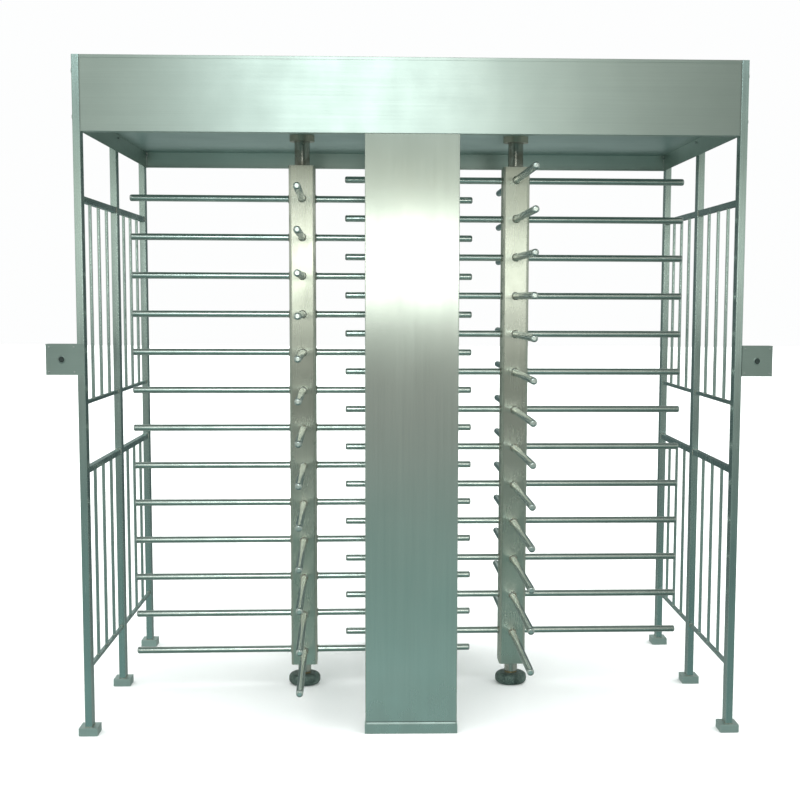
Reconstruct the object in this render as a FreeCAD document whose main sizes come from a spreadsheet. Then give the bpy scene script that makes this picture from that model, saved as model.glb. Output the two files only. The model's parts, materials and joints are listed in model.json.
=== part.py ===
"""Twin-lane full-height turnstile that counts visitors, as a parametric assembly in millimetres.

Frame: X runs across the two lanes, -Y is the entry side and +Z is up. The origin is on the floor,
midway between the side frames. Each rotor turns about a vertical axis at X = -/+ rotor_offset.
"""
import FreeCAD
import Part
import os
import Sketcher

DIMENSIONS = {
    # frame
    "frame_height": 2300,
    "frame_width": 2250,
    "frame_depth": 1320,
    "fit_gap": 0.5,
    "post_width": 25,
    "post_depth": 50,
    "post_wall": 2,
    "post_corner": 2.5,
    "plate_width": 60,
    "plate_depth": 68,
    "plate_thickness": 8,
    "anchor_spacing_across": 40,
    "anchor_spacing_along": 44,
    "anchor_hole_radius": 4.5,
    "cover_width": 65,
    "cover_depth": 75,
    "cover_height": 28,
    "cover_wall": 1.5,
    "cover_bend": 2,
    # side infill
    "top_rail_height": 1832,
    "panel_height": 685,
    "panel_step": 916,
    "top_rail_size": 20,
    "bottom_rail_size": 12,
    "rail_wall": 1.5,
    "bar_radius": 6,
    # canopy
    "canopy_height": 250,
    "canopy_sheet": 2,
    "canopy_flange": 25,
    "canopy_bend": 3,
    "lid_lip": 10,
    "lid_sheet": 1.5,
    "soffit_recess": 64,
    "shaft_hole_radius": 31,
    "collar_radius": 47,
    "collar_height": 22,
    "beam_width": 40,
    "beam_height": 60,
    "beam_wall": 3,
    "beam_offset": 110,
    "bolt_radius": 4,
    "bolt_head_width": 13,
    "bolt_head_height": 5.3,
    "bolt_inset": 50,
    # centre screens
    "screen_width": 318,
    "screen_depth": 40,
    "screen_wall": 1.5,
    "screen_bend": 3,
    "plinth_height": 32,
    "plinth_wall": 1.5,
    "plinth_floor": 3,
    "plinth_anchor_spacing": 240,
    # rotors
    "rotor_offset": 405,
    "left_rest_turn": 1.6,
    "right_rest_turn": 1.0,
    "column_size": 100,
    "column_wall": 3,
    "column_corner": 11,
    "column_bottom": 86,
    "column_top": 2000,
    "end_plate_thickness": 8,
    "arm_reach": 648,
    "arm_radius": 12.7,
    "arm_wall": 1.5,
    "arm_levels": 13,
    "arm_step": 145,
    "lowest_arm": 138,
    "cap_thickness": 8,
    "cap_rounding": 6.5,
    "cap_plug_depth": 12,
    "shaft_radius": 28.5,
    "journal_radius": 25,
    "journal_bottom": 2128,
    "journal_length": 98,
    "neck_radius": 25,
    "pivot_radius": 15,
    # floor bearing
    "disc_radius": 61,
    "disc_height": 44,
    "disc_rounding": 18,
    "disc_anchor_circle": 36,
    "bush_radius": 20,
    "bush_flange_radius": 24,
    "bush_flange_height": 4,
    "bush_seat": 10,
    "running_clearance": 0.05,
    "thrust_gap": 0.1,
    # head bearing and lock
    "bearing_plate_width": 220,
    "bearing_plate_depth": 360,
    "bearing_plate_thickness": 10,
    "bearing_plate_shift": 30,
    "housing_size": 140,
    "housing_flange": 14,
    "housing_boss_radius": 50,
    "housing_boss_height": 32,
    "housing_bolt_spacing": 110,
    "wheel_radius": 100,
    "wheel_thickness": 10,
    "wheel_height": 2202,
    "wheel_hub_radius": 40,
    "wheel_hub_height": 30,
    "notch_width": 14,
    "notch_depth": 8,
    "pawl_pivot_x": 80,
    "pawl_pivot_y": 125,
    "pawl_pin_radius": 6,
    "pawl_eye_radius": 12,
    "pawl_width": 16,
    "pawl_length": 136,
    "nose_width": 12,
    "nose_length": 7,
    "solenoid_x": 40,
    "solenoid_width": 50,
    "solenoid_length": 50,
    "solenoid_height": 42,
    "solenoid_back": 202,
    "plunger_radius": 7,
    "plunger_clearance": 0.3,
    "plunger_gap": 0.8,
    "plunger_tail": 194,
    "sensor_width": 30,
    "sensor_length": 34,
    "sensor_height": 44,
    "sensor_reach": 86,
    "sensor_slot": 18,
    "sensor_slot_depth": 20,
    # control gear
    "control_length": 300,
    "control_width": 150,
    "control_height": 80,
    "control_wall": 2,
    "gland_radius": 10,
    # push-button stations
    "station_size": 104,
    "station_depth": 40,
    "station_wall": 1.5,
    "station_bend": 2,
    "station_height": 1296,
    "station_plate": 2,
    "station_ear": 22,
    "button_radius": 9,
    "button_proud": 3.5,
    "button_length": 20,
    "button_clearance": 0.4,
    "switch_radius": 14,
    "switch_length": 26,
    "station_screw_spacing": 84,
    "station_screw_radius": 2,
    "station_screw_head": 3.5,
    "station_screw_length": 8,
}

doc = FreeCAD.newDocument("visitor_turnstile")
sheet = doc.addObject("Spreadsheet::Sheet", "dims")
for row, (alias, value) in enumerate(DIMENSIONS.items(), start=1):
    sheet.set(f"A{row}", alias.replace("_", " "))
    sheet.set(f"B{row}", str(value))
    sheet.setAlias(f"B{row}", alias)
doc.recompute()

# Derived positions, as expressions of the sheet's cells
POST_X = "((dims.frame_width - dims.post_width) / 2)"
POST_Y = "((dims.frame_depth - dims.post_depth) / 2)"
POST_INNER_FACE = "(dims.frame_width / 2 - dims.post_width)"
CANOPY_BOTTOM = "(dims.frame_height - dims.canopy_height)"
SOFFIT_BOTTOM = f"({CANOPY_BOTTOM} + dims.soffit_recess)"
SOFFIT_TOP = f"({SOFFIT_BOTTOM} + dims.canopy_sheet)"
CANOPY_HALF_LENGTH = f"({POST_INNER_FACE} - dims.fit_gap - dims.canopy_sheet - dims.fit_gap)"
FASCIA_Y = "(dims.frame_depth / 2 - dims.lid_sheet - dims.fit_gap / 2)"
BEAM_BOTTOM = f"({SOFFIT_TOP} + dims.fit_gap)"
BEARING_PLATE_BOTTOM = f"({BEAM_BOTTOM} + dims.beam_height)"
BEARING_PLATE_TOP = f"({BEARING_PLATE_BOTTOM} + dims.bearing_plate_thickness)"
BAY_LENGTH = f"({POST_Y} - dims.post_depth)"
LOW_BOLT = f"({CANOPY_BOTTOM} + dims.bolt_inset)"
HIGH_BOLT = "(dims.frame_height - dims.bolt_inset)"
SCREEN_Y = "(dims.frame_depth / 2 - dims.screen_depth / 2)"
STATION_X = "(dims.frame_width / 2 + dims.station_size / 2)"
STATION_FRONT = "(dims.frame_depth / 2)"
SIDES = {"left": -1, "right": 1}


def number(expression):
    """The value in millimetres or degrees of an expression of the sheet's cells."""
    return float(sheet.evalExpression(expression))


def new_body(label):
    """An empty body whose label becomes its STEP file's name."""
    body = doc.addObject("PartDesign::Body", label)
    body.Label = label
    return body


def origin_feature(body, role):
    """The body's own plane or axis with that role, such as XY_Plane or Z_Axis."""
    return next(item for item in body.Origin.OriginFeatures if item.Role == role)


def add_sketch(body, name, plane="XY_Plane", offset="0"):
    """A sketch on one of the body's origin planes, moved along the plane's normal by offset."""
    sketch = body.newObject("Sketcher::SketchObject", name)
    sketch.AttachmentSupport = [(origin_feature(body, plane), "")]
    sketch.MapMode = "FlatFace"
    sketch.setExpression("AttachmentOffset.Base.z", offset)
    return sketch


def tie(sketch, kind, name, expression, *places):
    """Adds a dimension to the sketch and binds it to an expression."""
    index = sketch.addConstraint(Sketcher.Constraint(kind, *places, number(expression)))
    sketch.renameConstraint(index, name)
    sketch.setExpression(f"Constraints.{name}", expression)


def add_rectangle(sketch, width, height, x="0", y="0"):
    """A rectangle of that width and height whose centre is at (x, y)."""
    first = sketch.GeometryCount
    left, right = number(f"{x} - {width} / 2"), number(f"{x} + {width} / 2")
    low, high = number(f"{y} - {height} / 2"), number(f"{y} + {height} / 2")
    corners = [(left, low), (right, low), (right, high), (left, high)]
    points = [FreeCAD.Vector(across, up, 0) for across, up in corners]
    for index in range(4):
        sketch.addGeometry(Part.LineSegment(points[index], points[(index + 1) % 4]), False)
    for index in range(4):
        following = first + (index + 1) % 4
        sketch.addConstraint(Sketcher.Constraint("Coincident", first + index, 2, following, 1))
        kind = "Horizontal" if index % 2 == 0 else "Vertical"
        sketch.addConstraint(Sketcher.Constraint(kind, first + index))
    tie(sketch, "DistanceX", f"width_{first}", width, first, 1, first, 2)
    tie(sketch, "DistanceY", f"height_{first}", height, first + 1, 1, first + 1, 2)
    tie(sketch, "DistanceX", f"left_{first}", f"{x} - {width} / 2", -1, 1, first, 1)
    tie(sketch, "DistanceY", f"low_{first}", f"{y} - {height} / 2", -1, 1, first, 1)


def add_circle(sketch, radius, x="0", y="0"):
    """A circle of that radius whose centre is at (x, y)."""
    index = sketch.GeometryCount
    centre = FreeCAD.Vector(number(x), number(y), 0)
    circle = Part.Circle(centre, FreeCAD.Vector(0, 0, 1), number(radius))
    sketch.addGeometry(circle, False)
    tie(sketch, "Radius", f"radius_{index}", radius, index)
    tie(sketch, "DistanceX", f"across_{index}", x, -1, 1, index, 3)
    tie(sketch, "DistanceY", f"along_{index}", y, -1, 1, index, 3)


def add_pad(body, sketch, length):
    """Material from the sketch, along its normal, for that length."""
    pad = body.newObject("PartDesign::Pad", f"{sketch.Name}_pad")
    pad.Profile = sketch
    pad.setExpression("Length", length)
    body.Tip = pad
    return pad


def add_pocket(body, sketch, depth):
    """A cut from the sketch, against its normal, for that depth."""
    pocket = body.newObject("PartDesign::Pocket", f"{sketch.Name}_pocket")
    pocket.Profile = sketch
    pocket.setExpression("Length", depth)
    body.Tip = pocket
    return pocket


def pad_rectangle(body, width, height, length, x="0", y="0", start="0", plane="XY_Plane"):
    """A block on the plane, raised by length from start, centred at (x, y)."""
    sketch = add_sketch(body, f"{body.Label}_outline", plane, start)
    add_rectangle(sketch, width, height, x, y)
    return add_pad(body, sketch, length)


def pad_circle(body, radius, length, start="0"):
    """An upright cylinder on the body's own Z axis, from start up by length."""
    sketch = add_sketch(body, f"{body.Label}_round", "XY_Plane", start)
    add_circle(sketch, radius)
    return add_pad(body, sketch, length)


def cut_rectangle(body, width, height, depth, x="0", y="0", top="0", plane="XY_Plane"):
    """A rectangular cut that starts at top and goes down by depth."""
    sketch = add_sketch(body, f"{body.Label}_recess", plane, top)
    add_rectangle(sketch, width, height, x, y)
    return add_pocket(body, sketch, depth)


def cut_circles(body, radius, centres, depth, top="0", plane="XY_Plane"):
    """Round holes at the given centres that start at top and go down by depth."""
    sketch = add_sketch(body, f"{body.Label}_holes", plane, top)
    for x, y in centres:
        add_circle(sketch, radius, x, y)
    return add_pocket(body, sketch, depth)


def four_corners(across, along):
    """The centres of a rectangle's four corners, around the origin."""
    return [(f"{i} * {across} / 2", f"{j} * {along} / 2") for i in (-1, 1) for j in (-1, 1)]


def round_section_corners(body, feature, radius, width, depth):
    """Rounds the four upright edges of a rectangular section of that width and depth."""
    doc.recompute()
    half_width, half_depth = number(f"{width} / 2"), number(f"{depth} / 2")
    names = []
    for index, edge in enumerate(feature.Shape.Edges, start=1):
        middle = edge.CenterOfMass
        if abs(abs(middle.x) - half_width) < 0.01 and abs(abs(middle.y) - half_depth) < 0.01:
            names.append(f"Edge{index}")
    fillet = body.newObject("PartDesign::Fillet", f"{body.Label}_corners")
    fillet.Base = (feature, names)
    fillet.setExpression("Radius", radius)
    body.Tip = fillet
    return fillet


def round_face_edges(body, feature, radius, height, direction=None):
    """Rounds the straight edges of the feature at that height, or only those along a direction."""
    doc.recompute()
    names = []
    for index, edge in enumerate(feature.Shape.Edges, start=1):
        box = edge.BoundBox
        level = box.ZLength < 0.01 and abs(box.ZMin - number(height)) < 0.01
        along = edge.tangentAt(edge.FirstParameter)
        if level and (direction is None or abs(along.dot(direction)) > 0.999):
            names.append(f"Edge{index}")
    fillet = body.newObject("PartDesign::Fillet", f"{body.Label}_bend")
    fillet.Base = (feature, names)
    fillet.setExpression("Radius", radius)
    body.Tip = fillet
    return fillet


def round_rim(body, feature, radius, height, rim_radius):
    """Rounds the circular edge of that radius at that height."""
    doc.recompute()
    names = []
    for index, edge in enumerate(feature.Shape.Edges, start=1):
        curve = edge.Curve
        if not hasattr(curve, "Radius"):
            continue
        if abs(curve.Radius - number(rim_radius)) < 0.01 and abs(curve.Center.z - number(height)) < 0.01:
            names.append(f"Edge{index}")
    fillet = body.newObject("PartDesign::Fillet", f"{body.Label}_rim")
    fillet.Base = (feature, names)
    fillet.setExpression("Radius", radius)
    body.Tip = fillet
    return fillet


def repeat(body, features, steps, quarter_turns=1, mirror=False):
    """Repeats features; each step is (axis role, total length, count), then turns or a mirror."""
    pattern = body.newObject("PartDesign::MultiTransform", f"{body.Label}_repeat")
    pattern.Originals = features
    transforms = []
    for index, (role, length, count) in enumerate(steps):
        linear = body.newObject("PartDesign::LinearPattern", f"{body.Label}_row_{index}")
        linear.Direction = (origin_feature(body, role), [""])
        linear.Mode = "Extent"
        linear.setExpression("Length", length)
        linear.setExpression("Occurrences", count)
        transforms.append(linear)
    if quarter_turns > 1:
        polar = body.newObject("PartDesign::PolarPattern", f"{body.Label}_turns")
        polar.Axis = (origin_feature(body, "Z_Axis"), [""])
        polar.Angle = 360
        polar.Occurrences = quarter_turns
        transforms.append(polar)
    if mirror:
        mirrored = body.newObject("PartDesign::Mirrored", f"{body.Label}_mirror")
        mirrored.MirrorPlane = (origin_feature(body, "YZ_Plane"), [""])
        transforms.append(mirrored)
    pattern.Transformations = transforms
    body.Tip = pattern
    return pattern


def place(body, x="0", y="0", z="0", axis=(0, 0, 1), angle="0"):
    """Puts the body's own origin at (x, y, z), turned by angle degrees about axis."""
    turn = FreeCAD.Rotation(FreeCAD.Vector(*axis), number(angle))
    body.Placement = FreeCAD.Placement(FreeCAD.Vector(number(x), number(y), number(z)), turn)
    for letter, expression in (("x", x), ("y", y), ("z", z)):
        body.setExpression(f"Placement.Base.{letter}", expression)
    if angle != "0":
        body.setExpression("Placement.Rotation.Angle", angle)


# ---------------------------------------------------------------- side frames


def make_post(label, x, y):
    """Rectangular tube from its base plate to the top of the canopy, cross-drilled for two bolts."""
    body = new_body(label)
    sketch = add_sketch(body, f"{label}_section")
    add_rectangle(sketch, "dims.post_width", "dims.post_depth")
    length = "dims.frame_height - dims.plate_thickness"
    solid = add_pad(body, sketch, length)
    round_section_corners(body, solid, "dims.post_corner", "dims.post_width", "dims.post_depth")
    inner_width = "(dims.post_width - 2 * dims.post_wall)"
    inner_depth = "(dims.post_depth - 2 * dims.post_wall)"
    cut_rectangle(body, inner_width, inner_depth, length, top=length)
    low_bolt = f"({CANOPY_BOTTOM} + dims.bolt_inset - dims.plate_thickness)"
    high_bolt = "(dims.frame_height - dims.bolt_inset - dims.plate_thickness)"
    holes = [("0", low_bolt), ("0", high_bolt)]
    hole_radius = "dims.bolt_radius + dims.fit_gap / 2"
    cut_circles(body, hole_radius, holes, "dims.post_width", "dims.post_width / 2", "YZ_Plane")
    place(body, x, y, "dims.plate_thickness")


def make_posts():
    """Three posts in each side frame."""
    rows = {"front": f"-{POST_Y}", "middle": "0", "rear": POST_Y}
    for side, sign in SIDES.items():
        for row, y in rows.items():
            make_post(f"{side}_{row}_post", f"{sign} * {POST_X}", y)


def foot_steps():
    """Steps that repeat a piece under all six posts."""
    return [("X_Axis", f"2 * {POST_X}", "2"), ("Y_Axis", f"2 * {POST_Y}", "3")]


def make_base_plates():
    """Six welded foot plates, each with four anchor holes."""
    body = new_body("post_base_plates")
    plate = pad_rectangle(body, "dims.plate_width", "dims.plate_depth", "dims.plate_thickness")
    centres = four_corners("dims.anchor_spacing_across", "dims.anchor_spacing_along")
    thickness = "dims.plate_thickness"
    holes = cut_circles(body, "dims.anchor_hole_radius", centres, thickness, thickness)
    repeat(body, [plate, holes], foot_steps())
    place(body, f"-{POST_X}", f"-{POST_Y}")


def make_foot_covers():
    """Six folded boxes that slide down the posts and hide the foot plates."""
    body = new_body("post_foot_covers")
    box = pad_rectangle(body, "dims.cover_width", "dims.cover_depth", "dims.cover_height")
    corners = round_section_corners(
        body, box, "dims.cover_bend", "dims.cover_width", "dims.cover_depth"
    )
    rim = round_face_edges(body, corners, "dims.cover_bend", "dims.cover_height")
    inner_width = "(dims.cover_width - 2 * dims.cover_wall)"
    inner_depth = "(dims.cover_depth - 2 * dims.cover_wall)"
    roof = "(dims.cover_height - dims.cover_wall)"
    hollow = cut_rectangle(body, inner_width, inner_depth, roof, top=roof)
    slot_width = "(dims.post_width + 2 * dims.fit_gap)"
    slot_depth = "(dims.post_depth + 2 * dims.fit_gap)"
    height = "dims.cover_height"
    slot = cut_rectangle(body, slot_width, slot_depth, height, top=height)
    repeat(body, [box, corners, rim, hollow, slot], foot_steps())
    place(body, f"-{POST_X}", f"-{POST_Y}")


def make_rails(side, sign):
    """Top and bottom rails of the upper and lower infill panels, front and rear bays."""
    body = new_body(f"{side}_infill_rails")
    sketch = add_sketch(body, f"{side}_top_rail", "XZ_Plane")
    inner_size = "(dims.top_rail_size - 2 * dims.rail_wall)"
    add_rectangle(sketch, "dims.top_rail_size", "dims.top_rail_size")
    add_rectangle(sketch, inner_size, inner_size)
    top_rail = add_pad(body, sketch, BAY_LENGTH)
    sketch = add_sketch(body, f"{side}_bottom_rail", "XZ_Plane")
    size = "dims.bottom_rail_size"
    add_rectangle(sketch, size, size, "0", "-dims.panel_height")
    bottom_rail = add_pad(body, sketch, BAY_LENGTH)
    steps = [("Y_Axis", POST_Y, "2"), ("Z_Axis", "dims.panel_step", "2")]
    repeat(body, [top_rail, bottom_rail], steps)
    lower_top_rail = "dims.top_rail_height - dims.panel_step"
    place(body, f"{sign} * {POST_X}", "-dims.post_depth / 2", lower_top_rail)


def make_bars(side, sign):
    """Three round bars in each bay of the upper and lower infill panels."""
    body = new_body(f"{side}_infill_bars")
    gap = f"({BAY_LENGTH} / 4)"
    length = "dims.panel_height - dims.top_rail_size / 2 - dims.bottom_rail_size / 2"
    bar = pad_circle(body, "dims.bar_radius", length)
    steps = [("Y_Axis", f"2 * {gap}", "3"), ("Y_Axis", POST_Y, "2"), ("Z_Axis", "dims.panel_step", "2")]
    repeat(body, [bar], steps)
    first_y = f"-{POST_Y} + dims.post_depth / 2 + {gap}"
    bottom = "dims.top_rail_height - dims.panel_step - dims.panel_height + dims.bottom_rail_size / 2"
    place(body, f"{sign} * {POST_X}", first_y, bottom)


def add_hexagon(sketch, radius, y):
    """A regular hexagon with that corner radius, centred at (0, y) of the sketch."""
    guide = sketch.GeometryCount
    centre = FreeCAD.Vector(0, number(y), 0)
    circle = Part.Circle(centre, FreeCAD.Vector(0, 0, 1), number(radius))
    sketch.addGeometry(circle, True)
    tie(sketch, "Radius", "corner_radius", radius, guide)
    tie(sketch, "DistanceY", "hexagon_height", y, -1, 1, guide, 3)
    sketch.addConstraint(Sketcher.Constraint("PointOnObject", guide, 3, -2))
    corners = []
    for index in range(6):
        turn = FreeCAD.Rotation(FreeCAD.Vector(0, 0, 1), 60 * index + 30)
        corners.append(centre + turn.multVec(FreeCAD.Vector(number(radius), 0, 0)))
    first = guide + 1
    for index in range(6):
        sketch.addGeometry(Part.LineSegment(corners[index], corners[(index + 1) % 6]), False)
    for index in range(6):
        following = first + (index + 1) % 6
        sketch.addConstraint(Sketcher.Constraint("Coincident", first + index, 2, following, 1))
        sketch.addConstraint(Sketcher.Constraint("PointOnObject", first + index, 1, guide))
    for index in range(1, 6):
        sketch.addConstraint(Sketcher.Constraint("Equal", first, first + index))
    sketch.addConstraint(Sketcher.Constraint("Vertical", first + 5))


def make_frame_bolts():
    """Twelve hexagon bolts that clamp the posts to the canopy's end plates."""
    body = new_body("frame_bolts")
    outer_face = "dims.frame_width / 2"
    sketch = add_sketch(body, "bolt_head", "YZ_Plane", f"-{outer_face} - dims.bolt_head_height")
    add_hexagon(sketch, "dims.bolt_head_width / sqrt(3)", LOW_BOLT)
    head = add_pad(body, sketch, "dims.bolt_head_height")
    sketch = add_sketch(body, "bolt_shank", "YZ_Plane", f"-{outer_face}")
    add_circle(sketch, "dims.bolt_radius", "0", LOW_BOLT)
    shank = add_pad(body, sketch, "dims.post_width + dims.fit_gap + dims.canopy_sheet + 8")
    steps = [("Y_Axis", f"2 * {POST_Y}", "3"), ("Z_Axis", f"{HIGH_BOLT} - {LOW_BOLT}", "2")]
    repeat(body, [head, shank], steps, mirror=True)
    place(body, "0", f"-{POST_Y}")


# ---------------------------------------------------------------- canopy


def make_fascia(label, sign):
    """Folded channel across the canopy's front (-1) or rear (1), open towards the inside."""
    body = new_body(label)
    length = f"2 * {CANOPY_HALF_LENGTH}"
    height = "(dims.canopy_height - dims.lid_sheet)"
    block = pad_rectangle(body, length, height, "dims.canopy_flange", "0", f"{height} / 2")
    round_face_edges(body, block, "dims.canopy_bend", "0", FreeCAD.Vector(1, 0, 0))
    inner_height = f"({height} - 2 * dims.canopy_sheet)"
    depth = "dims.canopy_flange - dims.canopy_sheet"
    cut_rectangle(body, length, inner_height, depth, "0", f"{height} / 2", "dims.canopy_flange")
    face_in = FreeCAD.Rotation(FreeCAD.Vector(0, 0, 1), 0 if sign < 0 else 180)
    stand_up = FreeCAD.Rotation(FreeCAD.Vector(1, 0, 0), 90)
    turn_over = FreeCAD.Rotation(FreeCAD.Vector(0, 1, 0), 180)
    base = FreeCAD.Vector(0, sign * number(FASCIA_Y), number(CANOPY_BOTTOM))
    body.Placement = FreeCAD.Placement(base, face_in.multiply(stand_up).multiply(turn_over))
    body.setExpression("Placement.Base.y", f"{sign} * {FASCIA_Y}")
    body.setExpression("Placement.Base.z", CANOPY_BOTTOM)


def make_canopy_ends():
    """Two flat plates that close the canopy's ends and take the frame bolts."""
    body = new_body("canopy_ends")
    depth = f"2 * {FASCIA_Y}"
    height = "(dims.canopy_height - dims.lid_sheet)"
    middle = f"({CANOPY_BOTTOM} + {height} / 2)"
    thickness = "dims.canopy_sheet"
    plate = pad_rectangle(body, depth, height, thickness, "0", middle, "0", "YZ_Plane")
    centres = [(y, z) for y in (f"-{POST_Y}", "0", POST_Y) for z in (LOW_BOLT, HIGH_BOLT)]
    radius = "dims.bolt_radius + dims.fit_gap / 2"
    holes = cut_circles(body, radius, centres, thickness, thickness, "YZ_Plane")
    first = f"({POST_INNER_FACE} - dims.fit_gap)"
    repeat(body, [plate, holes], [("X_Axis", f"2 * {first} - {thickness}", "2")])
    place(body, f"-{first}")


def make_soffit():
    """Ceiling sheet set up inside the canopy, with a hole for each rotor shaft."""
    body = new_body("canopy_soffit")
    depth = f"2 * ({FASCIA_Y} - dims.canopy_sheet - dims.fit_gap)"
    pad_rectangle(body, f"2 * {CANOPY_HALF_LENGTH}", depth, "dims.canopy_sheet")
    centres = [("-dims.rotor_offset", "0"), ("dims.rotor_offset", "0")]
    thickness = "dims.canopy_sheet"
    cut_circles(body, "dims.shaft_hole_radius", centres, thickness, thickness)
    place(body, "0", "0", SOFFIT_BOTTOM)


def make_lid():
    """Shallow tray upside down over the canopy, with its lip in front of the fascias."""
    body = new_body("canopy_lid")
    length = f"(2 * {POST_INNER_FACE} - 2 * dims.fit_gap)"
    block = pad_rectangle(body, length, "dims.frame_depth", "dims.lid_lip")
    round_face_edges(body, block, "dims.lid_sheet", "dims.lid_lip", FreeCAD.Vector(1, 0, 0))
    inner_depth = "(dims.frame_depth - 2 * dims.lid_sheet)"
    inner_height = "(dims.lid_lip - dims.lid_sheet)"
    cut_rectangle(body, length, inner_depth, inner_height, top=inner_height)
    place(body, "0", "0", "dims.frame_height - dims.lid_lip")


def make_beams():
    """Two rectangular tubes along the canopy that carry the bearing plates."""
    body = new_body("bearing_beams")
    start = f"-{CANOPY_HALF_LENGTH}"
    sketch = add_sketch(body, "beam_section", "YZ_Plane", start)
    add_rectangle(sketch, "dims.beam_width", "dims.beam_height")
    inner_width = "(dims.beam_width - 2 * dims.beam_wall)"
    inner_height = "(dims.beam_height - 2 * dims.beam_wall)"
    add_rectangle(sketch, inner_width, inner_height)
    beam = add_pad(body, sketch, f"2 * {CANOPY_HALF_LENGTH}")
    repeat(body, [beam], [("Y_Axis", "2 * dims.beam_offset", "2")])
    place(body, "0", "-dims.beam_offset", f"{BEAM_BOTTOM} + dims.beam_height / 2")


def make_soffit_collars():
    """Two plain rings under the soffit, around the rotor shafts."""
    body = new_body("soffit_collars")
    sketch = add_sketch(body, "collar_section")
    add_circle(sketch, "dims.collar_radius")
    add_circle(sketch, "dims.shaft_hole_radius")
    ring = add_pad(body, sketch, "dims.collar_height")
    repeat_over_rotors(body, [ring])
    place(body, "-dims.rotor_offset", "0", f"{SOFFIT_BOTTOM} - dims.collar_height")


def repeat_over_rotors(body, features):
    """Repeats features made at the left rotor's axis at the right rotor's axis."""
    repeat(body, features, [("X_Axis", "2 * dims.rotor_offset", "2")])


# ---------------------------------------------------------------- centre screens


def make_screen(label, sign):
    """Closed flat tube between the lanes, from its plinth up to the canopy."""
    body = new_body(label)
    bottom = "dims.plinth_floor"
    length = f"({CANOPY_BOTTOM} - {bottom})"
    sketch = add_sketch(body, f"{label}_section")
    add_rectangle(sketch, "dims.screen_width", "dims.screen_depth")
    inner_width = "(dims.screen_width - 2 * dims.screen_wall)"
    inner_depth = "(dims.screen_depth - 2 * dims.screen_wall)"
    add_rectangle(sketch, inner_width, inner_depth)
    tube = add_pad(body, sketch, length)
    inner_bend = "dims.screen_bend - dims.screen_wall"
    bent = round_section_corners(body, tube, inner_bend, inner_width, inner_depth)
    round_section_corners(body, bent, "dims.screen_bend", "dims.screen_width", "dims.screen_depth")
    place(body, "0", f"{sign} * {SCREEN_Y}", bottom)


def make_plinths():
    """Two trays that hold the feet of the screens, with anchor holes in their floors."""
    body = new_body("screen_plinths")
    inner_width = "(dims.screen_width + 2 * dims.fit_gap)"
    inner_depth = "(dims.screen_depth + 2 * dims.fit_gap)"
    width = f"({inner_width} + 2 * dims.plinth_wall)"
    depth = f"({inner_depth} + 2 * dims.plinth_wall)"
    height = "dims.plinth_height"
    tray = pad_rectangle(body, width, depth, height)
    hollow_depth = "(dims.plinth_height - dims.plinth_floor)"
    hollow = cut_rectangle(body, inner_width, inner_depth, hollow_depth, top=height)
    centres = [(f"{i} * dims.plinth_anchor_spacing / 2", "0") for i in (-1, 1)]
    radius = "dims.anchor_hole_radius"
    holes = cut_circles(body, radius, centres, "dims.plinth_floor", "dims.plinth_floor")
    repeat(body, [tray, hollow, holes], [("Y_Axis", f"2 * {SCREEN_Y}", "2")])
    place(body, "0", f"-{SCREEN_Y}")


# ---------------------------------------------------------------- rotors


def place_on_rotor(body, side, sign):
    """Puts a body made about its own Z axis on a rotor's axis, turned as the rotor rests."""
    place(body, f"{sign} * dims.rotor_offset", "0", "0", (0, 0, 1), f"dims.{side}_rest_turn")


def make_column(side, sign):
    """Square tube with rounded corners that carries the arms."""
    body = new_body(f"{side}_rotor_column")
    sketch = add_sketch(body, f"{side}_column_section", "XY_Plane", "dims.column_bottom")
    inner = "(dims.column_size - 2 * dims.column_wall)"
    add_rectangle(sketch, "dims.column_size", "dims.column_size")
    add_rectangle(sketch, inner, inner)
    tube = add_pad(body, sketch, "dims.column_top - dims.column_bottom")
    inner_corner = "dims.column_corner - dims.column_wall"
    rounded = round_section_corners(body, tube, inner_corner, inner, inner)
    size = "dims.column_size"
    round_section_corners(body, rounded, "dims.column_corner", size, size)
    place_on_rotor(body, side, sign)


def make_end_plates(side, sign):
    """Plates welded into both ends of the column, which hold the shaft and the neck."""
    body = new_body(f"{side}_rotor_end_plates")
    inner = "(dims.column_size - 2 * dims.column_wall)"
    chamfer = "(dims.column_corner - dims.column_wall)"
    thickness = "dims.end_plate_thickness"
    plate = pad_rectangle(body, inner, inner, thickness, start="dims.column_bottom")
    rounding = round_section_corners(body, plate, chamfer, inner, inner)
    travel = "(dims.column_top - dims.column_bottom - dims.end_plate_thickness)"
    repeat(body, [plate, rounding], [("Z_Axis", travel, "2")])
    place_on_rotor(body, side, sign)


def make_shaft(side, sign):
    """Stub shaft from the column's top plate up through the head bearing."""
    body = new_body(f"{side}_rotor_shaft")
    pad_circle(body, "dims.shaft_radius", "dims.journal_bottom - dims.column_top", "dims.column_top")
    pad_circle(body, "dims.journal_radius", "dims.journal_length", "dims.journal_bottom")
    place_on_rotor(body, side, sign)


def make_neck(side, sign):
    """Neck under the column with the pivot that turns in the floor bush."""
    body = new_body(f"{side}_rotor_neck")
    shoulder = "(dims.disc_height + dims.bush_flange_height + dims.thrust_gap)"
    pad_circle(body, "dims.neck_radius", f"dims.column_bottom - {shoulder}", shoulder)
    pivot_bottom = "(dims.bush_seat + 1)"
    pad_circle(body, "dims.pivot_radius", f"{shoulder} - {pivot_bottom}", pivot_bottom)
    place_on_rotor(body, side, sign)


def arm_step_list(side):
    """The height of a rotor's lowest arms and the step that repeats them upwards."""
    lift = "0" if side == "left" else "dims.arm_step / 2"
    lowest = f"(dims.lowest_arm + {lift})"
    return lowest, [("Z_Axis", "(dims.arm_levels - 1) * dims.arm_step", "dims.arm_levels")]


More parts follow.
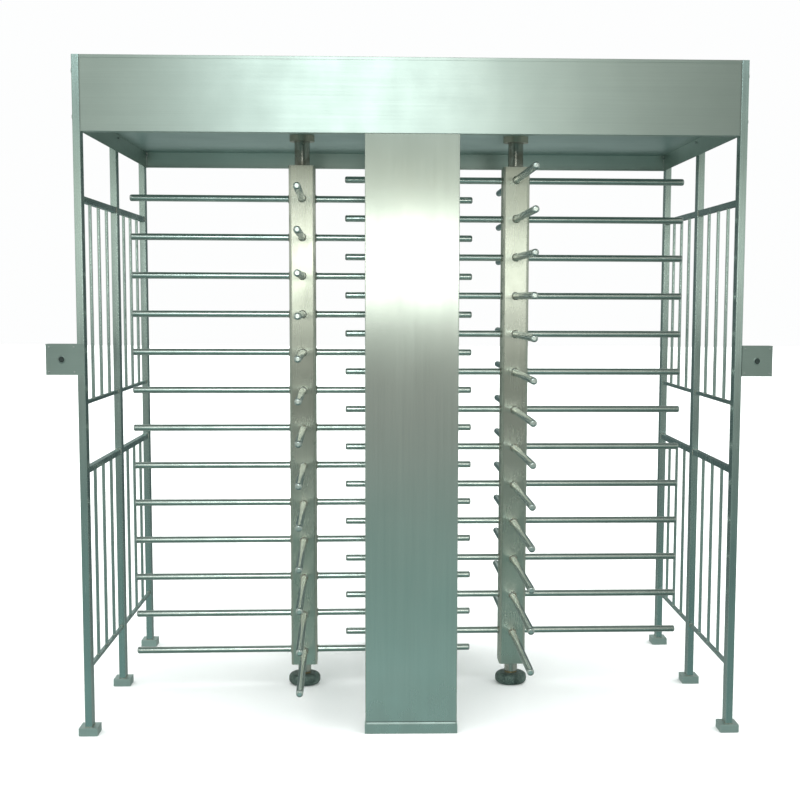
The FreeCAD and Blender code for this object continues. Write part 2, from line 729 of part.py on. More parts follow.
def make_arms(side, sign):
    """Round tubes welded to the column's four faces, thirteen to a face."""
    body = new_body(f"{side}_rotor_arms")
    lowest, steps = arm_step_list(side)
    sketch = add_sketch(body, f"{side}_arm_section", "YZ_Plane", "dims.column_size / 2")
    add_circle(sketch, "dims.arm_radius", "0", lowest)
    add_circle(sketch, "dims.arm_radius - dims.arm_wall", "0", lowest)
    length = "dims.arm_reach - dims.column_size / 2 - dims.cap_thickness"
    arm = add_pad(body, sketch, length)
    repeat(body, [arm], steps, quarter_turns=4)
    place_on_rotor(body, side, sign)


def make_arm_caps(side, sign):
    """Plugs with a rounded rim that close the arms' outer ends."""
    body = new_body(f"{side}_rotor_arm_caps")
    lowest, steps = arm_step_list(side)
    sketch = add_sketch(body, f"{side}_cap_face", "YZ_Plane", "dims.arm_reach - dims.cap_thickness")
    add_circle(sketch, "dims.arm_radius", "0", lowest)
    cap = add_pad(body, sketch, "dims.cap_thickness")
    doc.recompute()
    reach = number("dims.arm_reach")
    rim = [
        f"Edge{index}"
        for index, edge in enumerate(cap.Shape.Edges, start=1)
        if abs(edge.BoundBox.XMin - reach) < 0.01 and abs(edge.BoundBox.XMax - reach) < 0.01
    ]
    rounding = body.newObject("PartDesign::Fillet", f"{side}_cap_rounding")
    rounding.Base = (cap, rim)
    rounding.setExpression("Radius", "dims.cap_rounding")
    plug_start = "dims.arm_reach - dims.cap_thickness - dims.cap_plug_depth"
    sketch = add_sketch(body, f"{side}_cap_plug", "YZ_Plane", plug_start)
    add_circle(sketch, "dims.arm_radius - dims.arm_wall", "0", lowest)
    plug = add_pad(body, sketch, "dims.cap_plug_depth")
    repeat(body, [cap, rounding, plug], steps, quarter_turns=4)
    place_on_rotor(body, side, sign)


# ---------------------------------------------------------------- floor bearings


def make_floor_discs():
    """Two thick cast discs with round edges, each with a seat for the bush and four anchor holes."""
    body = new_body("floor_discs")
    height = "dims.disc_height"
    disc = pad_circle(body, "dims.disc_radius", height)
    doc.recompute()
    top = number(height)
    edges = [
        f"Edge{index}"
        for index, edge in enumerate(disc.Shape.Edges, start=1)
        if edge.BoundBox.ZLength < 0.01 and (edge.BoundBox.ZMin < 0.01 or edge.BoundBox.ZMin > top - 0.01)
    ]
    rounding = body.newObject("PartDesign::Fillet", "disc_rounding")
    rounding.Base = (disc, edges)
    rounding.setExpression("Radius", "dims.disc_rounding")
    seat_depth = "(dims.disc_height - dims.bush_seat)"
    seat = cut_circles(body, "dims.bush_radius", [("0", "0")], seat_depth, height)
    circle = "dims.disc_anchor_circle"
    centres = [(circle, "0"), ("0", circle), (f"-{circle}", "0"), ("0", f"-{circle}")]
    holes = cut_circles(body, "dims.anchor_hole_radius", centres, height, height)
    repeat_over_rotors(body, [disc, rounding, seat, holes])
    place(body, "-dims.rotor_offset")


def make_pivot_bushes():
    """Two flanged bushes that carry the rotors' weight and guide their pivots."""
    body = new_body("pivot_bushes")
    seat_depth = "(dims.disc_height - dims.bush_seat)"
    sleeve = pad_circle(body, "dims.bush_radius", seat_depth)
    flange = pad_circle(body, "dims.bush_flange_radius", "dims.bush_flange_height", seat_depth)
    height = f"({seat_depth} + dims.bush_flange_height)"
    bore_radius = "dims.pivot_radius + dims.running_clearance"
    bore = cut_circles(body, bore_radius, [("0", "0")], height, height)
    repeat_over_rotors(body, [sleeve, flange, bore])
    place(body, "-dims.rotor_offset", "0", "dims.bush_seat")


# ---------------------------------------------------------------- head bearings and locks


def make_bearing_plates():
    """Two plates across the beams; each carries a bearing housing, a lock and a sensor."""
    body = new_body("bearing_plates")
    thickness = "dims.bearing_plate_thickness"
    width, depth = "dims.bearing_plate_width", "dims.bearing_plate_depth"
    plate = pad_rectangle(body, width, depth, thickness, "0", "-dims.bearing_plate_shift")
    radius = "dims.journal_radius + dims.fit_gap"
    hole = cut_circles(body, radius, [("0", "0")], thickness, thickness)
    repeat_over_rotors(body, [plate, hole])
    place(body, "-dims.rotor_offset", "0", BEARING_PLATE_BOTTOM)


def make_bearing_housings():
    """Two square flanged housings under the plates, with a plain bore for the journal."""
    body = new_body("bearing_housings")
    boss_height = "dims.housing_boss_height"
    boss = pad_circle(body, "dims.housing_boss_radius", boss_height)
    size = "dims.housing_size"
    flange = pad_rectangle(body, size, size, "dims.housing_flange", start=boss_height)
    height = "(dims.housing_boss_height + dims.housing_flange)"
    bore_radius = "dims.journal_radius + dims.running_clearance"
    bore = cut_circles(body, bore_radius, [("0", "0")], height, height)
    repeat_over_rotors(body, [boss, flange, bore])
    place(body, "-dims.rotor_offset", "0", f"{BEARING_PLATE_BOTTOM} - {height}")


def make_lock_wheel(side, sign):
    """Notched disc with a hub on the journal: it stops against the pawl every quarter turn."""
    body = new_body(f"{side}_lock_wheel")
    thickness = "dims.wheel_thickness"
    disc = pad_circle(body, "dims.wheel_radius", thickness)
    notch_centre = "-(dims.wheel_radius - dims.notch_depth / 2 + 1)"
    notch_length = "(dims.notch_depth + 2)"
    sketch = add_sketch(body, f"{side}_notch", "XY_Plane", thickness)
    add_rectangle(sketch, "dims.notch_width", notch_length, "0", notch_centre)
    notch = add_pocket(body, sketch, thickness)
    repeat(body, [notch], [], quarter_turns=4)
    pad_circle(body, "dims.wheel_hub_radius", "dims.wheel_hub_height", "-dims.wheel_thickness")
    height = "dims.wheel_hub_height"
    cut_circles(body, "dims.journal_radius", [("0", "0")], height, f"{height} - dims.wheel_thickness")
    place(body, f"{sign} * dims.rotor_offset", "0", "dims.wheel_height")


def make_lock_pawl(side, sign):
    """Flat lever with an eye at one end and a nose that points at the wheel's rim."""
    body = new_body(f"{side}_lock_pawl")
    thickness = "dims.wheel_thickness"
    pad_circle(body, "dims.pawl_eye_radius", thickness)
    middle = "dims.pawl_length / 2"
    pad_rectangle(body, "dims.pawl_length", "dims.pawl_width", thickness, middle)
    nose_y = "dims.pawl_width / 2 + dims.nose_length / 2"
    pad_rectangle(body, "dims.nose_width", "dims.nose_length", thickness, "dims.pawl_pivot_x", nose_y)
    bore_radius = "dims.pawl_pin_radius + dims.running_clearance"
    cut_circles(body, bore_radius, [("0", "0")], thickness, thickness)
    x = f"{sign} * dims.rotor_offset - dims.pawl_pivot_x"
    place(body, x, "-dims.pawl_pivot_y", "dims.wheel_height")


def make_pawl_pins():
    """Two shouldered pins, fixed in the bearing plates, that the pawls turn on."""
    body = new_body("pawl_pins")
    stand = f"(dims.wheel_height - {BEARING_PLATE_TOP} - dims.fit_gap)"
    shoulder_radius = "dims.pawl_pin_radius + 3"
    shoulder = pad_circle(body, shoulder_radius, stand)
    reach = f"({stand} + dims.wheel_thickness + 2 * dims.fit_gap)"
    pin = pad_circle(body, "dims.pawl_pin_radius", reach)
    head = pad_circle(body, shoulder_radius, "3", reach)
    repeat_over_rotors(body, [shoulder, pin, head])
    place(body, "-dims.rotor_offset - dims.pawl_pivot_x", "-dims.pawl_pivot_y", BEARING_PLATE_TOP)


def make_solenoids():
    """Two solenoid bodies on the bearing plates, bored for their plungers."""
    body = new_body("solenoid_bodies")
    width, length = "dims.solenoid_width", "dims.solenoid_length"
    block = pad_rectangle(body, width, length, "dims.solenoid_height", "0", f"{length} / 2")
    axis_height = f"(dims.wheel_height + dims.wheel_thickness / 2 - {BEARING_PLATE_TOP})"
    radius = "dims.plunger_radius + dims.plunger_clearance"
    sketch = add_sketch(body, "plunger_bore", "XZ_Plane", "0")
    add_circle(sketch, radius, "0", axis_height)
    bore = add_pocket(body, sketch, length)
    repeat_over_rotors(body, [block, bore])
    place(body, "dims.solenoid_x - dims.rotor_offset", "-dims.solenoid_back", BEARING_PLATE_TOP)


def make_plunger(side, sign):
    """Round plunger whose domed tip pushes the back of the pawl."""
    body = new_body(f"{side}_solenoid_plunger")
    tip = "(dims.pawl_pivot_y + dims.pawl_width / 2 + dims.plunger_gap)"
    length = f"(dims.plunger_tail - {tip})"
    rod = pad_circle(body, "dims.plunger_radius", length)
    round_rim(body, rod, "dims.plunger_radius - 2", length, "dims.plunger_radius")
    x = f"{sign} * dims.rotor_offset + dims.solenoid_x"
    z = "dims.wheel_height + dims.wheel_thickness / 2"
    place(body, x, "-dims.plunger_tail", z, (1, 0, 0), "-90")


def make_count_sensors():
    """Two fork sensors on the bearing plates that straddle the wheels' rims."""
    body = new_body("count_sensors")
    width, length = "dims.sensor_width", "dims.sensor_length"
    block = pad_rectangle(body, width, length, "dims.sensor_height", "0", f"{length} / 2")
    rim_height = f"(dims.wheel_height + dims.wheel_thickness / 2 - {BEARING_PLATE_TOP})"
    slot_depth = "dims.sensor_slot_depth"
    slot_top = f"{rim_height} + dims.sensor_slot / 2"
    slot = cut_rectangle(body, width, slot_depth, "dims.sensor_slot", "0", f"{slot_depth} / 2", slot_top)
    repeat_over_rotors(body, [block, slot])
    place(body, "-dims.rotor_offset", "dims.sensor_reach", BEARING_PLATE_TOP)


# ---------------------------------------------------------------- control box


def make_control_box():
    """Open box on the soffit between the beams, for the counter and the power supply."""
    body = new_body("control_box")
    length, width = "dims.control_length", "dims.control_width"
    height = "dims.control_height"
    pad_rectangle(body, length, width, height)
    inner_length = "(dims.control_length - 2 * dims.control_wall)"
    inner_width = "(dims.control_width - 2 * dims.control_wall)"
    depth = "(dims.control_height - dims.control_wall)"
    cut_rectangle(body, inner_length, inner_width, depth, top=height)
    end = f"{length} / 2"
    middle = "dims.control_height / 2"
    cut_circles(body, "dims.gland_radius", [("0", middle)], "dims.control_wall", end, "YZ_Plane")
    place(body, "0", "0", SOFFIT_TOP)


def make_control_lid():
    """Flat cover of the control box."""
    body = new_body("control_box_lid")
    pad_rectangle(body, "dims.control_length", "dims.control_width", "dims.control_wall")
    place(body, "0", "0", f"{SOFFIT_TOP} + dims.control_height")


def make_cable_gland():
    """Gland in the control box's end wall, bored for the supply cable."""
    body = new_body("cable_gland")
    pad_circle(body, "dims.gland_radius", "dims.control_wall + 6")
    pad_circle(body, "dims.gland_radius + 4", "8", "dims.control_wall + 6")
    pad_circle(body, "dims.gland_radius + 1", "10", "dims.control_wall + 14")
    cut_circles(body, "4", [("0", "0")], "dims.control_wall + 24", "dims.control_wall + 24")
    x = "dims.control_length / 2 - dims.control_wall - 6"
    z = f"{SOFFIT_TOP} + dims.control_height / 2"
    place(body, x, "0", z, (0, 1, 0), "90")


# ---------------------------------------------------------------- push-button stations


def station_axis(sign):
    """X of a station's centre."""
    return f"{sign} * {STATION_X}"


def make_station_box(side, sign):
    """Folded box on the outside of the front post, open at the front."""
    body = new_body(f"{side}_station_box")
    size, depth = "dims.station_size", "dims.station_depth"
    block = pad_rectangle(body, size, size, depth)
    bent = round_section_corners(body, block, "dims.station_bend", size, size)
    round_face_edges(body, bent, "dims.station_bend", "0")
    inner = "(dims.station_size - 2 * dims.station_wall)"
    recess = "(dims.station_depth - dims.station_wall)"
    cut_rectangle(body, inner, inner, recess, top=depth)
    y = f"-{STATION_FRONT} + {depth}"
    place(body, station_axis(sign), y, "dims.station_height", (1, 0, 0), "90")


def make_station_plate(side, sign):
    """Front plate of a station; the left one reaches over the front of the post."""
    body = new_body(f"{side}_station_plate")
    ear = "dims.station_ear" if side == "left" else "0"
    width = f"(dims.station_size + {ear})"
    thickness = "dims.station_plate"
    pad_rectangle(body, width, "dims.station_size", thickness, f"{ear} / 2")
    hole_radius = "dims.button_radius + dims.button_clearance"
    cut_circles(body, hole_radius, [("0", "0")], thickness, thickness)
    spacing = "dims.station_screw_spacing"
    radius = "dims.station_screw_radius + dims.fit_gap / 4"
    cut_circles(body, radius, four_corners(spacing, spacing), thickness, thickness)
    place(body, station_axis(sign), f"-{STATION_FRONT}", "dims.station_height", (1, 0, 0), "90")


def make_station_screws():
    """Eight pan-head screws that hold the station plates."""
    body = new_body("station_screws")
    spacing = "dims.station_screw_spacing"
    head_start = "dims.station_plate"
    length = "dims.station_screw_length + dims.station_plate"
    sketch = add_sketch(body, "screw_shank", "XY_Plane", "-dims.station_screw_length")
    add_circle(sketch, "dims.station_screw_radius")
    shank = add_pad(body, sketch, length)
    sketch = add_sketch(body, "screw_head", "XY_Plane", head_start)
    add_circle(sketch, "dims.station_screw_head")
    head = add_pad(body, sketch, "2")
    steps = [("X_Axis", spacing, "2"), ("Y_Axis", spacing, "2"), ("X_Axis", f"2 * {STATION_X}", "2")]
    repeat(body, [shank, head], steps)
    x = f"-{STATION_X} - {spacing} / 2"
    z = f"dims.station_height - {spacing} / 2"
    place(body, x, f"-{STATION_FRONT}", z, (1, 0, 0), "90")


def make_switches():
    """Two switch bodies behind the station plates, which guide the buttons."""
    body = new_body("button_switches")
    length = "dims.switch_length"
    barrel = pad_circle(body, "dims.switch_radius", length)
    bore_radius = "dims.button_radius + dims.button_clearance"
    bore = cut_circles(body, bore_radius, [("0", "0")], f"{length} - 3", length)
    repeat(body, [barrel, bore], [("X_Axis", f"2 * {STATION_X}", "2")])
    y = f"-{STATION_FRONT} + {length}"
    place(body, f"-{STATION_X}", y, "dims.station_height", (1, 0, 0), "90")


def make_button(side, sign):
    """Push-button that stands proud of the station plate."""
    body = new_body(f"{side}_push_button")
    length = "dims.button_length"
    barrel = pad_circle(body, "dims.button_radius", length)
    round_rim(body, barrel, "1", length, "dims.button_radius")
    y = f"-{STATION_FRONT} - dims.station_plate - dims.button_proud + {length}"
    place(body, station_axis(sign), y, "dims.station_height", (1, 0, 0), "90")


# ---------------------------------------------------------------- assembly and export


def make_static_pieces():
    """Everything that stays still."""
    make_posts()
    make_base_plates()
    make_foot_covers()
    for side, sign in SIDES.items():
        make_rails(side, sign)
        make_bars(side, sign)
        make_station_box(side, sign)
        make_station_plate(side, sign)
    make_frame_bolts()
    make_canopy_ends()
    make_fascia("canopy_front_fascia", -1)
    make_fascia("canopy_rear_fascia", 1)
    make_soffit()
    make_lid()
    make_beams()
    make_soffit_collars()
    make_screen("front_centre_screen", -1)
    make_screen("rear_centre_screen", 1)
    make_plinths()
    make_floor_discs()
    make_pivot_bushes()
    make_bearing_plates()
    make_bearing_housings()
    make_pawl_pins()
    make_solenoids()
    make_count_sensors()
    make_control_box()
    make_control_lid()
    make_cable_gland()
    make_station_screws()
    make_switches()


def make_moving_pieces():
    """The rotors, pawls, plungers and buttons."""
    for side, sign in SIDES.items():
        make_column(side, sign)
        make_end_plates(side, sign)
        make_shaft(side, sign)
        make_neck(side, sign)
        make_arms(side, sign)
        make_arm_caps(side, sign)
        make_lock_wheel(side, sign)
        make_lock_pawl(side, sign)
        make_plunger(side, sign)
        make_button(side, sign)


def check_document():
    """Stops if a feature failed or a piece has no valid solid."""
    for item in doc.Objects:
        if "Invalid" in item.State or "Error" in item.State:
            raise RuntimeError(f"{item.Name} failed: {item.State}")
    for body in doc.findObjects("PartDesign::Body"):
        shape = body.Shape
        if shape.isNull() or not shape.isValid() or not shape.Solids:
            raise RuntimeError(f"{body.Label} has no valid solid")


def export_pieces():
    """Writes one STEP file for each body."""
    os.makedirs("parts", exist_ok=True)
    for body in doc.findObjects("PartDesign::Body"):
        body.Shape.exportStep(f"parts/{body.Label}.step")
        print(f"{body.Label}: {len(body.Shape.Solids)} solids, {body.Shape.Volume:.0f} mm3")


make_static_pieces()
make_moving_pieces()
doc.recompute()
check_document()
export_pieces()
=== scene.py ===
"""Finishes, welds, trim, light and camera for a twin-lane full-height turnstile."""

import json
import math

import bmesh
import bpy
import numpy as np
from mathutils import Matrix, Vector


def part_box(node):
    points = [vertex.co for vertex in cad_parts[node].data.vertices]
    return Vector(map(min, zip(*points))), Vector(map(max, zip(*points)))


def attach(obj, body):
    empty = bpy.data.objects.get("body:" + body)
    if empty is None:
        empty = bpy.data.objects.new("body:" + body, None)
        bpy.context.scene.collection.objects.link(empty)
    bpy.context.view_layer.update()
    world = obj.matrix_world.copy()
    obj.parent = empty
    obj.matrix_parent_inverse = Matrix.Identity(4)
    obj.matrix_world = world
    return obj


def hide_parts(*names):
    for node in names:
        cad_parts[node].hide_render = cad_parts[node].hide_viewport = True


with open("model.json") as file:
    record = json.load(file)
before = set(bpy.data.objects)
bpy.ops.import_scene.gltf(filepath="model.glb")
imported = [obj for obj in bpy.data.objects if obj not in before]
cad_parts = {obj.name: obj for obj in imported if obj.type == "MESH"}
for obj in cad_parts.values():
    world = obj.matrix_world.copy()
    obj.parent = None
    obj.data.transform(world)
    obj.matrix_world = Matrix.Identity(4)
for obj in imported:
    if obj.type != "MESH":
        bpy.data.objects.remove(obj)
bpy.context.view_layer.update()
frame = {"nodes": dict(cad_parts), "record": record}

SIDES = ("left", "right")
FULL_TURN = 2 * math.pi
X_AXIS, Y_AXIS, Z_AXIS = np.eye(3)

# ---------------------------------------------------------------- sizes shared with the CAD, in metres

REST_TURN = {"left": math.radians(1.6), "right": math.radians(1.0)}
ARM_RADIUS = 0.0127
ARM_LEVELS = 13
COLUMN_HALF = 0.050
SHAFT_RADIUS = 0.0285
NECK_RADIUS = 0.025
COLLAR_BORE = 0.031
TOP_RAIL = 0.020
BOTTOM_RAIL = 0.012
BAR_RADIUS = 0.006
PANEL_STEP = 0.916
POST_WALL = 0.002
PLINTH_HEIGHT = 0.032
SCREEN_CORNER = 0.003
BUTTON_HOLE = 0.0094
SCREW_SPACING = 0.084

# ---------------------------------------------------------------- sizes of the welds and the trim

ARM_BEAD = 0.0030
ARM_BEAD_LIFT = 0.0008
SHAFT_BEAD = 0.0034
RAIL_BEAD = 0.0018
RAIL_CORNER = 0.0012
BAR_BEAD = 0.0014
FOOT_BEAD = 0.0016
POST_CORNER = 0.0025
PLUG_CORNER = 0.0012
PLUG_PROFILE = ((0.0002, 0.012), (0.0002, 0.0018), (0.0006, 0.0010), (0.0016, 0.0006))
PLINTH_FILLET = ((0.0, 0.0), (0.0019, 0.0), (0.0019, 0.0008), (0.0010, 0.0056), (0.0, 0.0112))
SHANK_RADIUS = 0.0019
HEAD_RADIUS = 0.0035
SCREW_PROFILE = (
    (SHANK_RADIUS, -0.008),
    (SHANK_RADIUS, 0.0),
    (HEAD_RADIUS, 0.0),
    (HEAD_RADIUS, 0.0007),
    (0.0031, 0.0014),
    (0.0023, 0.0019),
)
SCREW_SIDES = 24
SOCKET_HALF_WIDTH = 0.0013
SOCKET_RIM, SOCKET_FLOOR = 0.0020, 0.0008
BUTTON_RING = (
    (BUTTON_HOLE, 0.0),
    (0.0135, 0.0),
    (0.0135, 0.0006),
    (0.0126, 0.0015),
    (0.0106, 0.0018),
    (BUTTON_HOLE, 0.0012),
)

# ---------------------------------------------------------------- shapes


def quads(rows, columns, rows_wrap=False):
    """Four-cornered faces of a grid of points whose columns run round and meet."""
    last = rows if rows_wrap else rows - 1
    row, column = np.meshgrid(np.arange(last), np.arange(columns), indexing="ij")
    next_row, next_column = (row + 1) % rows, (column + 1) % columns
    corners = (
        row * columns + column,
        row * columns + next_column,
        next_row * columns + next_column,
        next_row * columns + column,
    )
    return np.stack(corners, axis=-1).reshape(-1, 4)


def ring_angles(count):
    """Angles spaced evenly round one full turn."""
    return np.arange(count) * FULL_TURN / count


def bead(path, outward, along, size, ripples, sides=7):
    """A closed weld bead: a circle carried round a closed path. The circle lies in the plane of the
    outward and along directions, and its radius is size times one plus a sine that runs through
    the given number of ripples on the way round."""
    count = len(path)
    swell = size * (1 + 0.17 * np.sin(ripples * ring_angles(count)))
    angle = ring_angles(sides)[None, :, None]
    section = np.cos(angle) * outward[:, None] + np.sin(angle) * along
    points = path[:, None] + swell[:, None, None] * section
    return points.reshape(-1, 3), quads(count, sides, rows_wrap=True).tolist()


def ring_bead(radius, size, ripples, across, up, along, count=28):
    """A bead whose path is a circle: cosine of the angle across plus sine of the angle up."""
    angle = ring_angles(count)[:, None]
    outward = np.cos(angle) * across + np.sin(angle) * up
    return bead(outward * radius, outward, along, size, ripples)


def rounded_outline(width, depth, corner, count):
    """Points spaced evenly by length round a rectangle whose corners are arcs, with the direction
    that faces outwards at each: it is fixed along a side and turns evenly through a corner."""
    quarter = np.linspace(0, math.pi / 2, 7)
    turns = np.concatenate([quarter + k * math.pi / 2 for k in range(4)])
    signs = np.repeat([[1, 1], [-1, 1], [-1, -1], [1, -1]], len(quarter), axis=0)
    centres = signs * [width / 2 - corner, depth / 2 - corner]
    outline = centres + corner * np.stack([np.cos(turns), np.sin(turns)], axis=1)
    outline = np.vstack([outline, outline[:1]])
    turns = np.append(turns, FULL_TURN)
    length = np.append(0, np.cumsum(np.linalg.norm(np.diff(outline, axis=0), axis=1)))
    wanted = np.arange(count) * length[-1] / count
    points = np.stack([np.interp(wanted, length, outline[:, i]) for i in (0, 1)], axis=1)
    facing = np.interp(wanted, length, turns)
    return points, np.stack([np.cos(facing), np.sin(facing)], axis=1)


def frame_bead(width, depth, corner, size, ripples, across, up, along, count=56):
    """A bead whose path is a rounded rectangle in the plane of the across and up directions."""
    outline, facing = rounded_outline(width, depth, corner, count)
    axes = np.stack([across, up])
    return bead(outline @ axes, facing @ axes, along, size, ripples)


def turned(profile, sides=32, closed=False):
    """A profile of (radius, height) pairs turned about Z: radius times cosine, radius times sine,
    height. A closed profile makes a ring; an open one gets a flat face at each end."""
    angle = ring_angles(sides)
    radius, height = np.array(profile).T
    x = radius[:, None] * np.cos(angle)
    y = radius[:, None] * np.sin(angle)
    z = np.broadcast_to(height[:, None], x.shape)
    faces = quads(len(profile), sides, rows_wrap=closed).tolist()
    if not closed:
        faces.append(list(range(sides)))
        faces.append([(len(profile) - 1) * sides + k for k in range(sides)])
    return np.stack([x, y, z], axis=-1).reshape(-1, 3), faces


def skirt(outlines):
    """A shell through rings of points of equal count, one above the other, with flat ends."""
    rings = np.array(outlines)
    count = rings.shape[1]
    faces = quads(len(rings), count).tolist()
    faces.append(list(range(count)))
    faces.append([(len(rings) - 1) * count + k for k in range(count)])
    return rings.reshape(-1, 3), faces


def turn_about_z(angle):
    """The matrix that turns points about Z by that angle."""
    c, s = math.cos(angle), math.sin(angle)
    return np.array([[c, -s, 0], [s, c, 0], [0, 0, 1]])


def copies(shape, moves, turns=None):
    """The shape once for each move, turned first if turns are given, as one set of points and faces."""
    points, faces = shape
    moves = np.array(moves)
    if turns is None:
        turns = np.repeat(np.eye(3)[None], len(moves), axis=0)
    placed = np.einsum("kij,nj->kni", np.array(turns), points) + moves[:, None]
    repeated = [[i + k * len(points) for i in face] for k in range(len(moves)) for face in faces]
    return placed.reshape(-1, 3), repeated


def join(shapes):
    """Several shapes as one set of points and faces."""
    points, faces, offset = [], [], 0
    for shape_points, shape_faces in shapes:
        points.append(shape_points)
        faces += [[i + offset for i in face] for face in shape_faces]
        offset += len(shape_points)
    return np.vstack(points), faces


def make_piece(name, shape, body, finish, smooth=True):
    """A mesh object made from points and faces, with outward faces, that rides on a body."""
    points, faces = shape
    mesh = bpy.data.meshes.new(name)
    mesh.from_pydata(points.tolist(), [], faces)
    work = bmesh.new()
    work.from_mesh(mesh)
    bmesh.ops.recalc_face_normals(work, faces=work.faces)
    work.to_mesh(mesh)
    work.free()
    mesh.polygons.foreach_set("use_smooth", np.full(len(mesh.polygons), smooth))
    mesh.materials.append(finish)
    piece = bpy.data.objects.new(name, mesh)
    bpy.context.scene.collection.objects.link(piece)
    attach(piece, body)
    return piece


def corners_of(node):
    """Lowest and highest corner of a CAD node, as arrays."""
    low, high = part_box(node)
    return np.array(low), np.array(high)


def centre_of(node):
    """Middle of a CAD node's box."""
    low, high = corners_of(node)
    return (low + high) / 2


def on_axis(node, height):
    """The point on a node's upright middle line at that height."""
    return centre_of(node) * [1, 1, 0] + Z_AXIS * height


def on_posts(height):
    """The points on the middle lines of all six posts at that height."""
    rows = ("front", "middle", "rear")
    return [on_axis(f"{side}_{row}_post", height) for side in SIDES for row in rows]


# ---------------------------------------------------------------- finishes

BLACK, WHITE = (0.0, 0.0, 0.0), (1, 1, 1)
SOIL_COLOR = (0.12, 0.13, 0.11)
SOIL_HEIGHT = 0.22
CHIP_COLOR = (0.22, 0.21, 0.20)
EVEN = (1, 1, 1)
MOSTLY_LOW, MOSTLY_HIGH = 0.3, 0.7
GRAIN_SLANT = 0.012


class Finish:
    """A Principled material with short calls that add the nodes which feed it."""

    def __init__(self, name, color, metallic=0.0, roughness=0.5, anisotropic=0.0, ior=1.5):
        self.material = bpy.data.materials.new(name)
        self.material.use_nodes = True
        self.tree = self.material.node_tree
        self.shader = self.tree.nodes["Principled BSDF"]
        self.shader.inputs["Base Color"].default_value = (*color, 1)
        self.shader.inputs["Metallic"].default_value = metallic
        self.shader.inputs["Roughness"].default_value = roughness
        self.shader.inputs["Anisotropic"].default_value = anisotropic
        self.shader.inputs["IOR"].default_value = ior
        self.place = self.add("ShaderNodeTexCoord").outputs["Object"]

    def add(self, kind, **settings):
        node = self.tree.nodes.new(kind)
        for key, value in settings.items():
            setattr(node, key, value)
        return node

    def feed(self, socket, source):
        """Links a source socket, or sets a plain value."""
        if isinstance(source, bpy.types.NodeSocket):
            self.tree.links.new(source, socket)
        else:
            socket.default_value = source

    def noise(self, scale, stretch=EVEN, detail=3.0, shift=0.0):
        """Noise in metres: stretch multiplies the scale along X, Y and Z."""
        mapping = self.add("ShaderNodeMapping")
        mapping.inputs["Scale"].default_value = [scale * s for s in stretch]
        mapping.inputs["Location"].default_value = (shift, shift * 0.7, shift * 1.3)
        self.feed(mapping.inputs["Vector"], self.place)
        texture = self.add("ShaderNodeTexNoise")
        texture.inputs["Scale"].default_value = 1.0
        texture.inputs["Detail"].default_value = detail
        self.feed(texture.inputs["Vector"], mapping.outputs["Vector"])
        return texture.outputs["Fac"]

    def remap(self, value, low, high, to_low=0.0, to_high=1.0):
        """Carries low..high over to to_low..to_high and holds it there."""
        node = self.add("ShaderNodeMapRange")
        limits = {"From Min": low, "From Max": high, "To Min": to_low, "To Max": to_high}
        for socket, number in limits.items():
            node.inputs[socket].default_value = number
        self.feed(node.inputs["Value"], value)
        return node.outputs["Result"]

    def math(self, operation, first, second):
        node = self.add("ShaderNodeMath", operation=operation)
        self.feed(node.inputs[0], first)
        self.feed(node.inputs[1], second)
        return node.outputs[0]

    def blend(self, factor, first, second, mode="MIX"):
        """Mixes two colours."""
        node = self.add("ShaderNodeMix", data_type="RGBA", blend_type=mode)
        self.feed(node.inputs[0], factor)
        for socket, colour in ((node.inputs[6], first), (node.inputs[7], second)):
            self.feed(socket, colour if isinstance(colour, bpy.types.NodeSocket) else (*colour, 1))
        return node.outputs[2]

    def swing(self, base, pattern, fall, rise):
        """The base plus an amount that runs from fall to rise as the pattern runs over the range
        where most of its values lie."""
        amount = self.remap(pattern, MOSTLY_LOW, MOSTLY_HIGH, fall, rise)
        return self.math("ADD", amount, base)

    def darken(self, tone, pattern, depth):
        """The colour times a grey that falls by depth where the pattern is low."""
        grey = self.remap(pattern, MOSTLY_LOW, MOSTLY_HIGH, 1 - depth, 1.0)
        return self.blend(1.0, tone, self.blend(grey, BLACK, WHITE), "MULTIPLY")

    def height(self):
        """The point's height above the floor."""
        node = self.add("ShaderNodeSeparateXYZ")
        self.feed(node.inputs[0], self.place)
        return node.outputs["Z"]

    def color(self, source):
        self.feed(self.shader.inputs["Base Color"], source)

    def roughness(self, source):
        self.feed(self.shader.inputs["Roughness"], source)

    def bump(self, height, strength, distance):
        node = self.add("ShaderNodeBump")
        node.inputs["Strength"].default_value = strength
        node.inputs["Distance"].default_value = distance
        self.feed(node.inputs["Height"], height)
        self.feed(self.shader.inputs["Normal"], node.outputs["Normal"])

    def across_grain(self, grain):
        """Points the stretched highlight square to the grain and along the surface: the cross
        product of the surface normal and the grain direction. The grain is slanted a little, so
        that the product doesn't vanish on faces that look along it."""
        direction = self.add("ShaderNodeCombineXYZ")
        for socket, value in zip(direction.inputs, grain):
            socket.default_value = float(value) + GRAIN_SLANT
        turn = self.add(
            "ShaderNodeVectorTransform", vector_type="VECTOR", convert_from="OBJECT", convert_to="WORLD"
        )
        self.feed(turn.inputs[0], direction.outputs[0])
        normal = self.add("ShaderNodeNewGeometry").outputs["Normal"]
        cross = self.add("ShaderNodeVectorMath", operation="CROSS_PRODUCT")
        self.feed(cross.inputs[0], normal)
        self.feed(cross.inputs[1], turn.outputs[0])
        self.feed(self.shader.inputs["Tangent"], cross.outputs[0])


